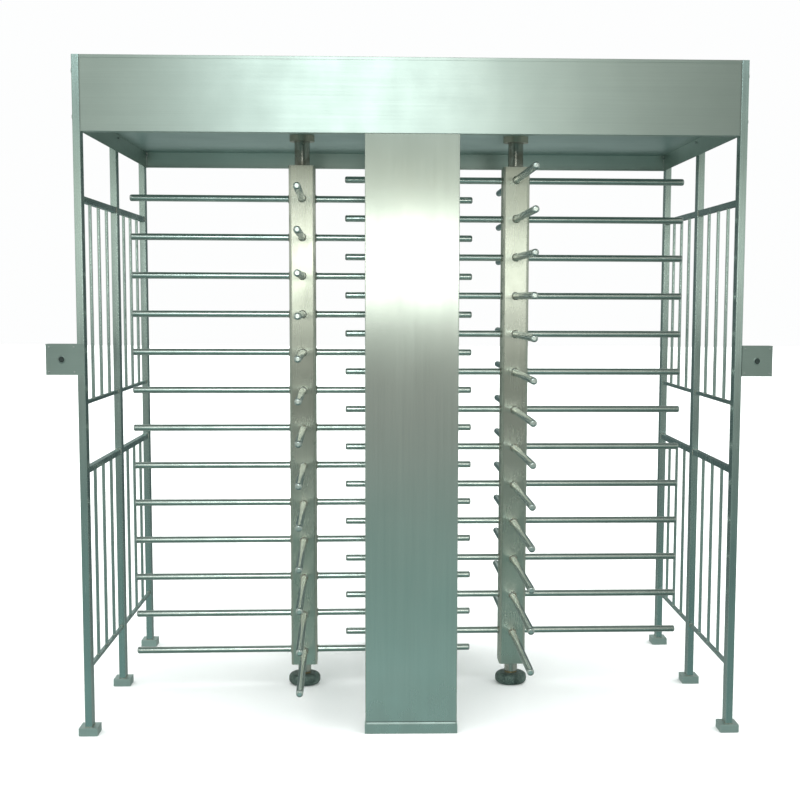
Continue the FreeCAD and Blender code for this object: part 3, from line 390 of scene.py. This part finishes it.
def brushed_steel(
    name,
    light,
    dark,
    grain,
    roughness,
    anisotropic,
    smear=0.05,
    streak=0.07,
    soil=0.20,
    bands=0.04,
    brush=0.06,
):
    """Brushed stainless steel. Long thin noise along the grain gives lines in colour, roughness and
    bump; cloudy noise gives handling smears; and a soiled band rises from the floor."""
    finish = Finish(name, light, 1.0, roughness, anisotropic)
    along = grain > 0.5
    lines = finish.noise(420, np.where(along, 0.006, 1.0), 4.0)
    wide_lines = finish.noise(38, np.where(along, 0.03, 1.0), 2.0, shift=3.1)
    clouds = finish.noise(3.4, detail=4.0, shift=7.7)
    patches = finish.noise(11, (1, 1, 0.6), shift=1.9)
    tone = finish.blend(finish.remap(clouds, 0.35, 0.68), light, dark)
    tone = finish.darken(tone, lines, streak)
    tone = finish.darken(tone, wide_lines, bands)
    near_floor = finish.remap(finish.height(), 0.0, SOIL_HEIGHT, 1.0, 0.0)
    soiled = finish.math("MULTIPLY", near_floor, finish.remap(patches, 0.35, 0.65, 0.3, 1.0))
    soiled = finish.math("MULTIPLY", soiled, soil)
    finish.color(finish.blend(soiled, tone, SOIL_COLOR))
    rough = finish.swing(roughness, lines, -0.3 * brush, 0.4 * brush)
    rough = finish.swing(rough, patches, -smear / 2, smear / 2)
    finish.roughness(finish.math("ADD", rough, finish.math("MULTIPLY", soiled, 0.5)))
    finish.bump(lines, brush, 0.0004)
    if anisotropic:
        finish.across_grain(grain)
    return finish.material


def polished_tube(name, light, dark, roughness):
    """Drawn and polished round tube: fine even speckle, cloudy smears, small worn patches."""
    finish = Finish(name, light, 1.0, roughness)
    speckle = finish.noise(520)
    clouds = finish.noise(14, detail=4.0, shift=2.2)
    worn = finish.remap(finish.noise(34, detail=5.0, shift=9.4), 0.62, 0.76, 0.0, 0.6)
    tone = finish.blend(finish.remap(clouds, 0.35, 0.7), light, dark)
    finish.color(finish.blend(worn, tone, [0.85 * value for value in dark]))
    rough = finish.swing(roughness, clouds, -0.03, 0.04)
    finish.roughness(finish.math("ADD", rough, finish.math("MULTIPLY", worn, 0.06)))
    finish.bump(speckle, 0.02, 0.0002)
    return finish.material


def machined_metal(name, light, dark, roughness):
    """Turned steel or bronze: rings of tool marks round the upright axis, with oil stains."""
    finish = Finish(name, light, 1.0, roughness)
    marks = finish.noise(900, (0.02, 0.02, 1.0), 2.0)
    stains = finish.noise(28, detail=4.0, shift=4.4)
    tone = finish.blend(finish.remap(stains, 0.42, 0.66), light, dark)
    finish.color(finish.blend(finish.remap(marks, 0.35, 0.65, 0.0, 0.25), tone, dark))
    finish.roughness(finish.swing(roughness, stains, -0.06, 0.12))
    finish.bump(marks, 0.12, 0.0003)
    return finish.material


def cast_metal(name, light, dark, roughness):
    """Cast or heavily oiled metal: a pebbled skin with dark pits and lighter rubbed spots."""
    finish = Finish(name, light, 0.6, roughness)
    pebbles = finish.noise(260, detail=6.0)
    blotches = finish.noise(42, detail=5.0, shift=5.5)
    rubbed = [min(1.0, 1.9 * value) for value in light]
    tone = finish.blend(finish.remap(blotches, 0.38, 0.64), dark, light)
    finish.color(finish.blend(finish.remap(pebbles, 0.56, 0.70), tone, rubbed))
    finish.roughness(finish.swing(roughness, blotches, -0.12, 0.12))
    finish.bump(pebbles, 0.35, 0.0006)
    return finish.material


def painted_metal(name, light, dark, roughness):
    """Sprayed paint: faint orange-peel bump, slow tone changes and a few chips."""
    finish = Finish(name, light, 0.0, roughness)
    peel = finish.noise(700, detail=2.0)
    clouds = finish.noise(12, shift=6.1)
    chips = finish.remap(finish.noise(150, detail=6.0, shift=8.8), 0.70, 0.74)
    tone = finish.blend(finish.remap(clouds, MOSTLY_LOW, MOSTLY_HIGH), light, dark)
    finish.color(finish.blend(chips, tone, CHIP_COLOR))
    finish.roughness(finish.swing(roughness, clouds, -0.05, 0.08))
    finish.bump(peel, 0.15, 0.0002)
    return finish.material


def moulded_plastic(name, light, dark, roughness):
    """Spark-textured plastic: fine grain in the bump, slightly shiny where it is touched."""
    finish = Finish(name, light, 0.0, roughness, ior=1.46)
    grain = finish.noise(1500, detail=2.0)
    touched = finish.noise(90, shift=1.2)
    finish.color(finish.blend(finish.remap(touched, 0.35, 0.65), light, dark))
    finish.roughness(finish.swing(roughness, touched, -0.14, 0.10))
    finish.bump(grain, 0.25, 0.0002)
    return finish.material


def weld_metal(name):
    """Cleaned stainless weld: dull ripples with straw and blue heat tints."""
    bare, straw, blue = (0.56, 0.58, 0.55), (0.40, 0.36, 0.27), (0.22, 0.26, 0.31)
    finish = Finish(name, (0.52, 0.54, 0.50), 1.0, 0.34)
    heat = finish.noise(120)
    grit = finish.noise(900, shift=2.7)
    tone = finish.blend(finish.remap(heat, 0.38, 0.60), bare, straw)
    finish.color(finish.blend(finish.remap(heat, 0.60, 0.72), tone, blue))
    finish.roughness(finish.remap(grit, MOSTLY_LOW, MOSTLY_HIGH, 0.26, 0.46))
    finish.bump(grit, 0.3, 0.0003)
    return finish.material


def make_finishes():
    """One finish for each material slot of the record, and a few for the trim."""
    return {
        "frame_stainless": brushed_steel(
            "post_steel", (0.50, 0.61, 0.58), (0.43, 0.53, 0.51), Z_AXIS, 0.24, 0.8, soil=0.08
        ),
        "foot_stainless": brushed_steel(
            "foot_steel", (0.68, 0.80, 0.77), (0.56, 0.67, 0.64), X_AXIS, 0.38, 0.4, soil=0.12
        ),
        "canopy_stainless": brushed_steel(
            "canopy_steel",
            (0.70, 0.76, 0.71),
            (0.64, 0.70, 0.65),
            X_AXIS,
            0.38,
            0.88,
            smear=0.03,
            streak=0.05,
        ),
        "soffit_stainless": brushed_steel(
            "soffit_steel", (0.60, 0.71, 0.69), (0.50, 0.61, 0.59), X_AXIS, 0.36, 0.6
        ),
        "screen_stainless": brushed_steel(
            "screen_steel",
            (0.70, 0.75, 0.70),
            (0.65, 0.71, 0.66),
            Z_AXIS,
            0.25,
            0.96,
            smear=0.03,
            streak=0.04,
            soil=0.10,
            brush=0.015,
        ),
        "column_stainless": brushed_steel(
            "column_steel",
            (0.61, 0.63, 0.56),
            (0.50, 0.53, 0.46),
            Z_AXIS,
            0.26,
            0.92,
            smear=0.06,
            streak=0.08,
            brush=0.03,
        ),
        "arm_stainless": polished_tube("arm_steel", (0.72, 0.76, 0.72), (0.60, 0.65, 0.61), 0.21),
        "cap_stainless": polished_tube("cap_steel", (0.66, 0.71, 0.68), (0.52, 0.57, 0.55), 0.24),
        "machined_steel": machined_metal("turned_steel", (0.46, 0.46, 0.42), (0.26, 0.25, 0.21), 0.24),
        "fastener_steel": polished_tube("fastener_steel", (0.60, 0.63, 0.62), (0.48, 0.50, 0.49), 0.28),
        "floor_disc_iron": cast_metal("floor_disc_skin", (0.13, 0.18, 0.16), (0.05, 0.075, 0.065), 0.45),
        "bush_bronze": machined_metal("bush_bronze", (0.60, 0.44, 0.24), (0.40, 0.28, 0.14), 0.32),
        "structural_steel": painted_metal("primer_grey", (0.34, 0.36, 0.38), (0.28, 0.30, 0.32), 0.55),
        "housing_iron": cast_metal("housing_iron", (0.26, 0.27, 0.28), (0.16, 0.17, 0.18), 0.55),
        "solenoid_paint": painted_metal("solenoid_black", (0.05, 0.05, 0.06), (0.03, 0.03, 0.04), 0.40),
        "sensor_plastic": moulded_plastic("sensor_black", (0.04, 0.04, 0.045), (0.025, 0.025, 0.03), 0.50),
        "control_box_paint": painted_metal("control_grey", (0.58, 0.59, 0.58), (0.50, 0.51, 0.50), 0.50),
        "gland_plastic": moulded_plastic("gland_black", (0.04, 0.04, 0.04), (0.025, 0.025, 0.025), 0.55),
        "station_stainless": brushed_steel(
            "station_steel", (0.46, 0.54, 0.50), (0.39, 0.46, 0.43), X_AXIS, 0.36, 0.5
        ),
        "button_plastic": moulded_plastic(
            "button_green_black", (0.02, 0.035, 0.03), (0.012, 0.02, 0.018), 0.38
        ),
        "switch_plastic": moulded_plastic("switch_black", (0.05, 0.05, 0.05), (0.03, 0.03, 0.03), 0.55),
        "weld": weld_metal("weld_metal"),
        "collar": brushed_steel("collar_steel", (0.66, 0.62, 0.52), (0.46, 0.43, 0.36), Z_AXIS, 0.40, 0.3),
        "rubber": moulded_plastic("seal_rubber", (0.025, 0.025, 0.025), (0.018, 0.018, 0.018), 0.62),
    }


OWN_FINISH = {
    "soffit_collars": "collar",
    "left_rotor_arm_caps": "cap_stainless",
    "right_rotor_arm_caps": "cap_stainless",
}


def dress_nodes(finishes):
    """Gives every CAD node the finish of its slot, or its own where it looks different."""
    for part in frame["record"]["subparts"]:
        node = frame["nodes"][part["node"]]
        finish = finishes[OWN_FINISH.get(part["node"], part["material_slot"])]
        if not node.material_slots:
            node.data.materials.append(finish)
        for holder in node.material_slots:
            holder.material = finish


# ---------------------------------------------------------------- welds and trim


def rotor_levels(side):
    """Heights of a rotor's arm levels, from the box of its arms."""
    low, high = corners_of(f"{side}_rotor_arms")
    return np.linspace(low[2] + ARM_RADIUS, high[2] - ARM_RADIUS, ARM_LEVELS)


def make_rotor_welds(side, finishes):
    """A bead round the root of every arm, and one round the shaft and the neck at the column's ends."""
    shaft, column = f"{side}_rotor_shaft", f"{side}_rotor_column"
    points, faces = ring_bead(ARM_RADIUS, ARM_BEAD, 9, Y_AXIS, Z_AXIS, X_AXIS, count=27)
    root = (points + X_AXIS * (COLUMN_HALF + ARM_BEAD_LIFT), faces)
    moves, turns = [], []
    for height in rotor_levels(side):
        place = on_axis(shaft, height)
        for quarter in range(4):
            moves.append(place)
            turns.append(turn_about_z(REST_TURN[side] + quarter * math.pi / 2))
    arm_roots = copies(root, moves, turns)
    make_piece(f"{side}_arm_welds", arm_roots, f"{side}_rotor", finishes["weld"])
    low, high = corners_of(column)
    top = ring_bead(SHAFT_RADIUS, SHAFT_BEAD, 22, X_AXIS, Y_AXIS, Z_AXIS, count=66)
    bottom = ring_bead(NECK_RADIUS, SHAFT_BEAD, 20, X_AXIS, Y_AXIS, Z_AXIS, count=60)
    ends = join([copies(top, [on_axis(shaft, high[2])]), copies(bottom, [on_axis(shaft, low[2])])])
    make_piece(f"{side}_shaft_welds", ends, f"{side}_rotor", finishes["weld"])


def make_infill_welds(side, finishes):
    """Beads round the rails where they meet the posts, and round the bars where they meet the rails."""
    low, high = corners_of(f"{side}_infill_rails")
    x = (low[0] + high[0]) / 2
    top, bottom = high[2] - TOP_RAIL / 2, low[2] + BOTTOM_RAIL / 2
    levels = {TOP_RAIL: (top, top - PANEL_STEP), BOTTOM_RAIL: (bottom + PANEL_STEP, bottom)}
    middle_low, middle_high = corners_of(f"{side}_middle_post")
    ends = (low[1], middle_low[1], middle_high[1], high[1])
    shapes = []
    for size, heights in levels.items():
        outline = frame_bead(size, size, RAIL_CORNER, RAIL_BEAD, 14, X_AXIS, Z_AXIS, Y_AXIS)
        shapes.append(copies(outline, [(x, y, z) for y in ends for z in heights]))
    make_piece(f"{side}_rail_welds", join(shapes), "frame", finishes["weld"])
    bar_low, bar_high = corners_of(f"{side}_infill_bars")
    first = bar_low[1] + BAR_RADIUS
    bay = middle_low[1] - low[1]
    places = [first + k * bay / 4 for k in range(3)]
    places += [y + bay + middle_high[1] - middle_low[1] for y in places]
    heights = (bar_high[2], bar_high[2] - PANEL_STEP, bar_low[2] + PANEL_STEP, bar_low[2])
    ring = ring_bead(BAR_RADIUS, BAR_BEAD, 7, X_AXIS, Y_AXIS, Z_AXIS, count=21)
    rings = copies(ring, [(x, y, z) for y in places for z in heights])
    make_piece(f"{side}_bar_welds", rings, "frame", finishes["weld"])


def make_foot_seams(finishes):
    """A bead round each post where it comes through its foot cover."""
    low, high = corners_of("left_front_post")
    cover_top = corners_of("post_foot_covers")[1][2]
    width, depth = (high - low)[:2]
    seam = frame_bead(width, depth, POST_CORNER, FOOT_BEAD, 24, X_AXIS, Y_AXIS, Z_AXIS, count=72)
    seams = copies(seam, on_posts(cover_top))
    make_piece("foot_seams", seams, "frame", finishes["weld"])


def make_post_plugs(finishes):
    """A flat plug with softened edges, pressed into the open top of each post. The profile holds how
    far each ring is drawn in from the bore and how far it lies below the post's top."""
    low, high = corners_of("left_front_post")
    width, depth = (high - low)[:2] - 2 * POST_WALL
    rings = []
    for inset, drop in PLUG_PROFILE:
        outline, _ = rounded_outline(width - 2 * inset, depth - 2 * inset, PLUG_CORNER, 40)
        rings.append(np.column_stack([outline, np.full(len(outline), -drop)]))
    plugs = copies(skirt(rings), on_posts(high[2]))
    make_piece("post_top_plugs", plugs, "frame", finishes["gland_plastic"], smooth=False)


def make_plinth_fillets(finishes):
    """A ground fillet weld on each plinth's rim, all round the foot of its screen. The profile holds
    how far each ring stands out from the screen and how high it lies above the plinth."""
    shapes = []
    for row in ("front", "rear"):
        screen = f"{row}_centre_screen"
        low, high = corners_of(screen)
        width, depth = (high - low)[:2]
        rings = []
        for out, height in PLINTH_FILLET:
            outline, _ = rounded_outline(width + 2 * out, depth + 2 * out, SCREEN_CORNER + out, 160)
            rings.append(np.column_stack([outline, np.full(len(outline), PLINTH_HEIGHT + height)]))
        rings = np.array(rings)
        faces = quads(len(rings), rings.shape[1], rows_wrap=True).tolist()
        shapes.append(copies((rings.reshape(-1, 3), faces), [on_axis(screen, 0)]))
    make_piece("plinth_fillets", join(shapes), "frame", finishes["foot_stainless"])


def make_shaft_seals(finishes):
    """A rubber lip ring between each collar and its shaft, turned from a closed profile."""
    level = corners_of("soffit_collars")[0][2]
    inner, outer = SHAFT_RADIUS + 0.0004, COLLAR_BORE - 0.0003
    profile = [
        (outer, 0.002),
        (outer, 0.010),
        (inner + 0.0006, 0.010),
        (inner, 0.006),
        (inner, 0.001),
        ((inner + outer) / 2, 0.0002),
    ]
    moves = [on_axis(f"{side}_rotor_shaft", level) for side in SIDES]
    seals = copies(turned(profile, 48, closed=True), moves)
    make_piece("shaft_seals", seals, "frame", finishes["rubber"])


FACING_OUT = np.array([[1, 0, 0], [0, 0, -1], [0, 1, 0]])


def make_socket_screws(front, centres, finishes):
    """Pan-head screws with hexagon sockets, in place of the plain ones: rings of the profile's radii,
    then two rings of the socket. A hexagon's radius at an angle is its half width over the cosine of
    the angle from the middle of the nearest flat."""
    angle = ring_angles(SCREW_SIDES)
    flat = math.pi / 3
    hexagon = SOCKET_HALF_WIDTH / np.cos((angle + flat / 2) % flat - flat / 2)
    levels = [*SCREW_PROFILE, (hexagon, SOCKET_RIM), (hexagon, SOCKET_FLOOR)]
    rings = []
    for radius, height in levels:
        x, y = radius * np.cos(angle), radius * np.sin(angle)
        rings.append(np.column_stack([x, y, np.full(SCREW_SIDES, height)]))
    half = SCREW_SPACING / 2
    corners = [(-half, -half), (-half, half), (half, -half), (half, half)]
    moves = [(centre[0] + x, front, centre[2] + z) for centre in centres for x, z in corners]
    shape = copies(skirt(rings), moves, [FACING_OUT] * len(moves))
    finish = finishes["fastener_steel"]
    screws = make_piece("socket_screws", shape, "frame", finish, smooth=False)
    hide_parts("station_screws")


def make_button_rings(front, centres, finishes):
    """A turned ring round each button, on the face plate."""
    moves = [(centre[0], front, centre[2]) for centre in centres]
    rings = copies(turned(BUTTON_RING, 48, closed=True), moves, [FACING_OUT] * len(moves))
    make_piece("button_rings", rings, "frame", finishes["station_stainless"])


def make_station_trim(finishes):
    """The screws and rings of both stations."""
    front = corners_of("left_station_plate")[0][1]
    centres = [centre_of(f"{side}_push_button") for side in SIDES]
    make_socket_screws(front, centres, finishes)
    make_button_rings(front, centres, finishes)


# ---------------------------------------------------------------- stage, light and camera


FLOOR_HALF = 40
FLOOR_DROP = 0.0008
FLOOR_LIGHT, FLOOR_DARK = (0.97, 0.98, 0.98), (0.96, 0.97, 0.97)


def make_floor():
    """A wide pale floor that the metal doesn't mirror."""
    ways = ((-1, -1), (1, -1), (1, 1), (-1, 1))
    points = [(x * FLOOR_HALF, y * FLOOR_HALF, -FLOOR_DROP) for x, y in ways]
    mesh = bpy.data.meshes.new("floor")
    mesh.from_pydata(points, [], [(0, 1, 2, 3)])
    finish = Finish("floor_paint", FLOOR_LIGHT, 0.0, 0.9)
    grain = finish.remap(finish.noise(2.0), MOSTLY_LOW, MOSTLY_HIGH)
    finish.color(finish.blend(grain, FLOOR_LIGHT, FLOOR_DARK))
    mesh.materials.append(finish.material)
    floor = bpy.data.objects.new("floor", mesh)
    bpy.context.scene.collection.objects.link(floor)
    floor.visible_glossy = False


# The room that the metal mirrors. The first number of a stop is the height part of a direction, from
# straight down at -1 to straight up at 1, and in SIDEWAYS it is the part along X.
FRONT_ROOM = [
    (-1.00, (0.10, 0.17, 0.15)),
    (-0.60, (0.13, 0.22, 0.20)),
    (-0.28, (0.37, 0.58, 0.56)),
    (-0.20, (0.28, 0.44, 0.41)),
    (-0.15, (0.29, 0.42, 0.39)),
    (-0.10, (0.43, 0.44, 0.41)),
    (-0.08, (0.43, 0.43, 0.40)),
    (-0.055, (0.24, 0.26, 0.24)),
    (-0.025, (0.46, 0.49, 0.44)),
    (0.008, (1.00, 1.03, 0.94)),
    (0.035, (1.00, 1.03, 0.94)),
    (0.062, (0.92, 0.94, 0.82)),
    (0.085, (0.88, 0.90, 0.72)),
    (0.108, (0.34, 0.41, 0.39)),
    (0.17, (0.46, 0.50, 0.45)),
    (0.30, (0.42, 0.46, 0.42)),
    (0.42, (0.92, 0.96, 0.88)),
    (0.58, (0.90, 0.94, 0.87)),
    (0.70, (0.40, 0.46, 0.43)),
    (0.85, (0.16, 0.22, 0.21)),
    (1.00, (0.18, 0.24, 0.23)),
]
REAR_ROOM = [
    (-1.00, (0.22, 0.28, 0.26)),
    (-0.30, (0.46, 0.54, 0.51)),
    (-0.13, (0.09, 0.14, 0.14)),
    (0.10, (0.08, 0.13, 0.13)),
    (0.20, (0.16, 0.22, 0.21)),
    (0.28, (0.72, 0.80, 0.77)),
    (0.58, (0.78, 0.84, 0.80)),
    (0.75, (0.48, 0.53, 0.51)),
    (1.00, (0.40, 0.45, 0.43)),
]
SIDE_ROOM = [
    (-1.00, (0.20, 0.26, 0.24)),
    (-0.35, (0.43, 0.50, 0.47)),
    (-0.12, (0.36, 0.43, 0.40)),
    (-0.02, (0.50, 0.56, 0.52)),
    (0.04, (0.92, 0.95, 0.88)),
    (0.12, (0.58, 0.64, 0.59)),
    (0.30, (0.44, 0.50, 0.47)),
    (0.50, (0.72, 0.77, 0.73)),
    (1.00, (0.36, 0.41, 0.39)),
]
SIDEWAYS = [
    (-1.00, (1.00, 1.00, 1.00)),
    (-0.55, (1.00, 1.00, 1.00)),
    (-0.26, (0.66, 0.66, 0.66)),
    (-0.13, (1.00, 1.00, 1.00)),
    (0.13, (1.00, 1.00, 1.00)),
    (0.27, (0.36, 0.36, 0.36)),
    (0.38, (0.50, 0.50, 0.50)),
    (0.60, (1.00, 1.00, 1.00)),
]


FRONT_FADE = (0.25, -0.6)
SIDE_FADE = (0.38, 0.62)
BACKDROP = (0.985, 0.99, 0.99)


def color_ramp(tree, stops, source):
    """A ramp of colours over a source that runs from 0 to 1, with its stops given from -1 to 1."""
    node = tree.nodes.new("ShaderNodeValToRGB")
    ramp = node.color_ramp
    while len(ramp.elements) > 1:
        ramp.elements.remove(ramp.elements[-1])
    first, *others = stops
    ramp.elements[0].position = (first[0] + 1) / 2
    ramp.elements[0].color = (*first[1], 1)
    for place, color in others:
        ramp.elements.new((place + 1) / 2).color = (*color, 1)
    tree.links.new(source, node.inputs[0])
    return node.outputs["Color"]


def spread(tree, source, low=-1.0, high=1.0):
    """Carries a value from low..high over to 0..1 and holds it there."""
    node = tree.nodes.new("ShaderNodeMapRange")
    node.inputs["From Min"].default_value = low
    node.inputs["From Max"].default_value = high
    tree.links.new(source, node.inputs["Value"])
    return node.outputs["Result"]


def mix_colors(tree, share, first, second):
    """The first colour, or the second where the share is 1."""
    node = tree.nodes.new("ShaderNodeMix")
    node.data_type = "RGBA"
    for socket, source in zip((0, 6, 7), (share, first, second)):
        tree.links.new(source, node.inputs[socket])
    return node.outputs[2]


def make_room():
    """The room the metal mirrors: a bright strip low in front, grey above and green-grey below,
    dark behind and brighter to the sides. The eye sees a pale backdrop instead."""
    world = bpy.data.worlds.new("room")
    bpy.context.scene.world = world
    world.use_nodes = True
    tree = world.node_tree
    tree.nodes.clear()
    direction = tree.nodes.new("ShaderNodeTexCoord")
    split = tree.nodes.new("ShaderNodeSeparateXYZ")
    tree.links.new(direction.outputs["Generated"], split.inputs[0])
    height = spread(tree, split.outputs["Z"])
    front, rear, side = (color_ramp(tree, stops, height) for stops in (FRONT_ROOM, REAR_ROOM, SIDE_ROOM))
    front_share = spread(tree, split.outputs["Y"], *FRONT_FADE)
    aside = tree.nodes.new("ShaderNodeMath")
    aside.operation = "ABSOLUTE"
    tree.links.new(split.outputs["X"], aside.inputs[0])
    side_share = spread(tree, aside.outputs[0], *SIDE_FADE)
    whole = mix_colors(tree, side_share, mix_colors(tree, front_share, rear, front), side)
    shade = color_ramp(tree, SIDEWAYS, spread(tree, split.outputs["X"]))
    mirrored = tree.nodes.new("ShaderNodeBackground")
    tree.links.new(whole, mirrored.inputs["Color"])
    tree.links.new(shade, mirrored.inputs["Strength"])
    backdrop = tree.nodes.new("ShaderNodeBackground")
    backdrop.inputs["Color"].default_value = (*BACKDROP, 1)
    seen = tree.nodes.new("ShaderNodeLightPath")
    choose = tree.nodes.new("ShaderNodeMixShader")
    tree.links.new(seen.outputs["Is Camera Ray"], choose.inputs[0])
    tree.links.new(mirrored.outputs[0], choose.inputs[1])
    tree.links.new(backdrop.outputs[0], choose.inputs[2])
    output = tree.nodes.new("ShaderNodeOutputWorld")
    tree.links.new(choose.outputs[0], output.inputs["Surface"])


def make_light(name, kind, place, target, power, color=(1, 1, 1), mirrored=True, **settings):
    """A lamp at a place that points at a target. The eye never sees it; metal may."""
    lamp = bpy.data.lights.new(name, kind)
    lamp.energy = power
    lamp.color = color
    for key, value in settings.items():
        setattr(lamp, key, value)
    holder = bpy.data.objects.new(name, lamp)
    aim = (Vector(target) - Vector(place)).to_track_quat("-Z", "Y")
    holder.matrix_world = Matrix.Translation(place) @ aim.to_matrix().to_4x4()
    holder.visible_camera = False
    holder.visible_glossy = mirrored
    bpy.context.scene.collection.objects.link(holder)


def make_card(name, middle, width, height, strength, color):
    """An evenly bright upright card that faces the turnstile. Its power is its brightness times its
    area times pi."""
    power = strength * math.pi * width * height
    target = (middle[0], 0, middle[2])
    make_light(name, "AREA", middle, target, power, color, shape="RECTANGLE", size=width, size_y=height)


def make_lights():
    """A broad soft light from above for the floor, and cards in front that the metal mirrors."""
    broad = math.radians(110)
    make_light("ceiling_glow", "SUN", (0.6, -1.2, 6), (0, 0, 0), 4.2, mirrored=False, angle=broad)
    make_card("window", (0.20, -10, 1.87), 2.9, 0.80, 5.2, (0.97, 1.0, 0.93))
    make_card("skylight", (-0.56, -10, 5.0), 2.1, 2.8, 5.4, (0.80, 0.97, 1.0))


CAMERA_PLACE = (-0.0942, -5.4636, 1.5029)
CAMERA_YAW = 0.0317
CAMERA_PITCH = -0.1024
CAMERA_ROLL = -0.0038
LENS = 63.8325
SENSOR = 36.0
SHIFT = (-0.0361, 0.0559)
FAR_CLIP = 200


def make_camera():
    """Looks along +Y, turned by yaw about Z, tilted by pitch, then rolled about its own axis."""
    yaw, pitch, roll = CAMERA_YAW, CAMERA_PITCH, CAMERA_ROLL
    forward = Vector((math.sin(yaw) * math.cos(pitch), math.cos(yaw) * math.cos(pitch), math.sin(pitch)))
    level = Vector((math.cos(yaw), -math.sin(yaw), 0))
    down = forward.cross(level)
    right = level * math.cos(roll) + down * math.sin(roll)
    down = down * math.cos(roll) - level * math.sin(roll)
    lens = bpy.data.cameras.new("camera")
    lens.sensor_width = SENSOR
    lens.lens = LENS
    lens.shift_x, lens.shift_y = SHIFT
    lens.clip_end = FAR_CLIP
    camera = bpy.data.objects.new("camera", lens)
    turn = Matrix((right, -down, -forward)).transposed().to_4x4()
    camera.matrix_world = Matrix.Translation(CAMERA_PLACE) @ turn
    bpy.context.scene.collection.objects.link(camera)
    bpy.context.scene.camera = camera
    bpy.context.scene.view_settings.view_transform = "Standard"


# ---------------------------------------------------------------- the whole scene

all_finishes = make_finishes()
dress_nodes(all_finishes)
for side_name in SIDES:
    make_rotor_welds(side_name, all_finishes)
    make_infill_welds(side_name, all_finishes)
make_foot_seams(all_finishes)
make_post_plugs(all_finishes)
make_plinth_fillets(all_finishes)
make_shaft_seals(all_finishes)
make_station_trim(all_finishes)
make_floor()
make_room()
make_lights()
make_camera()
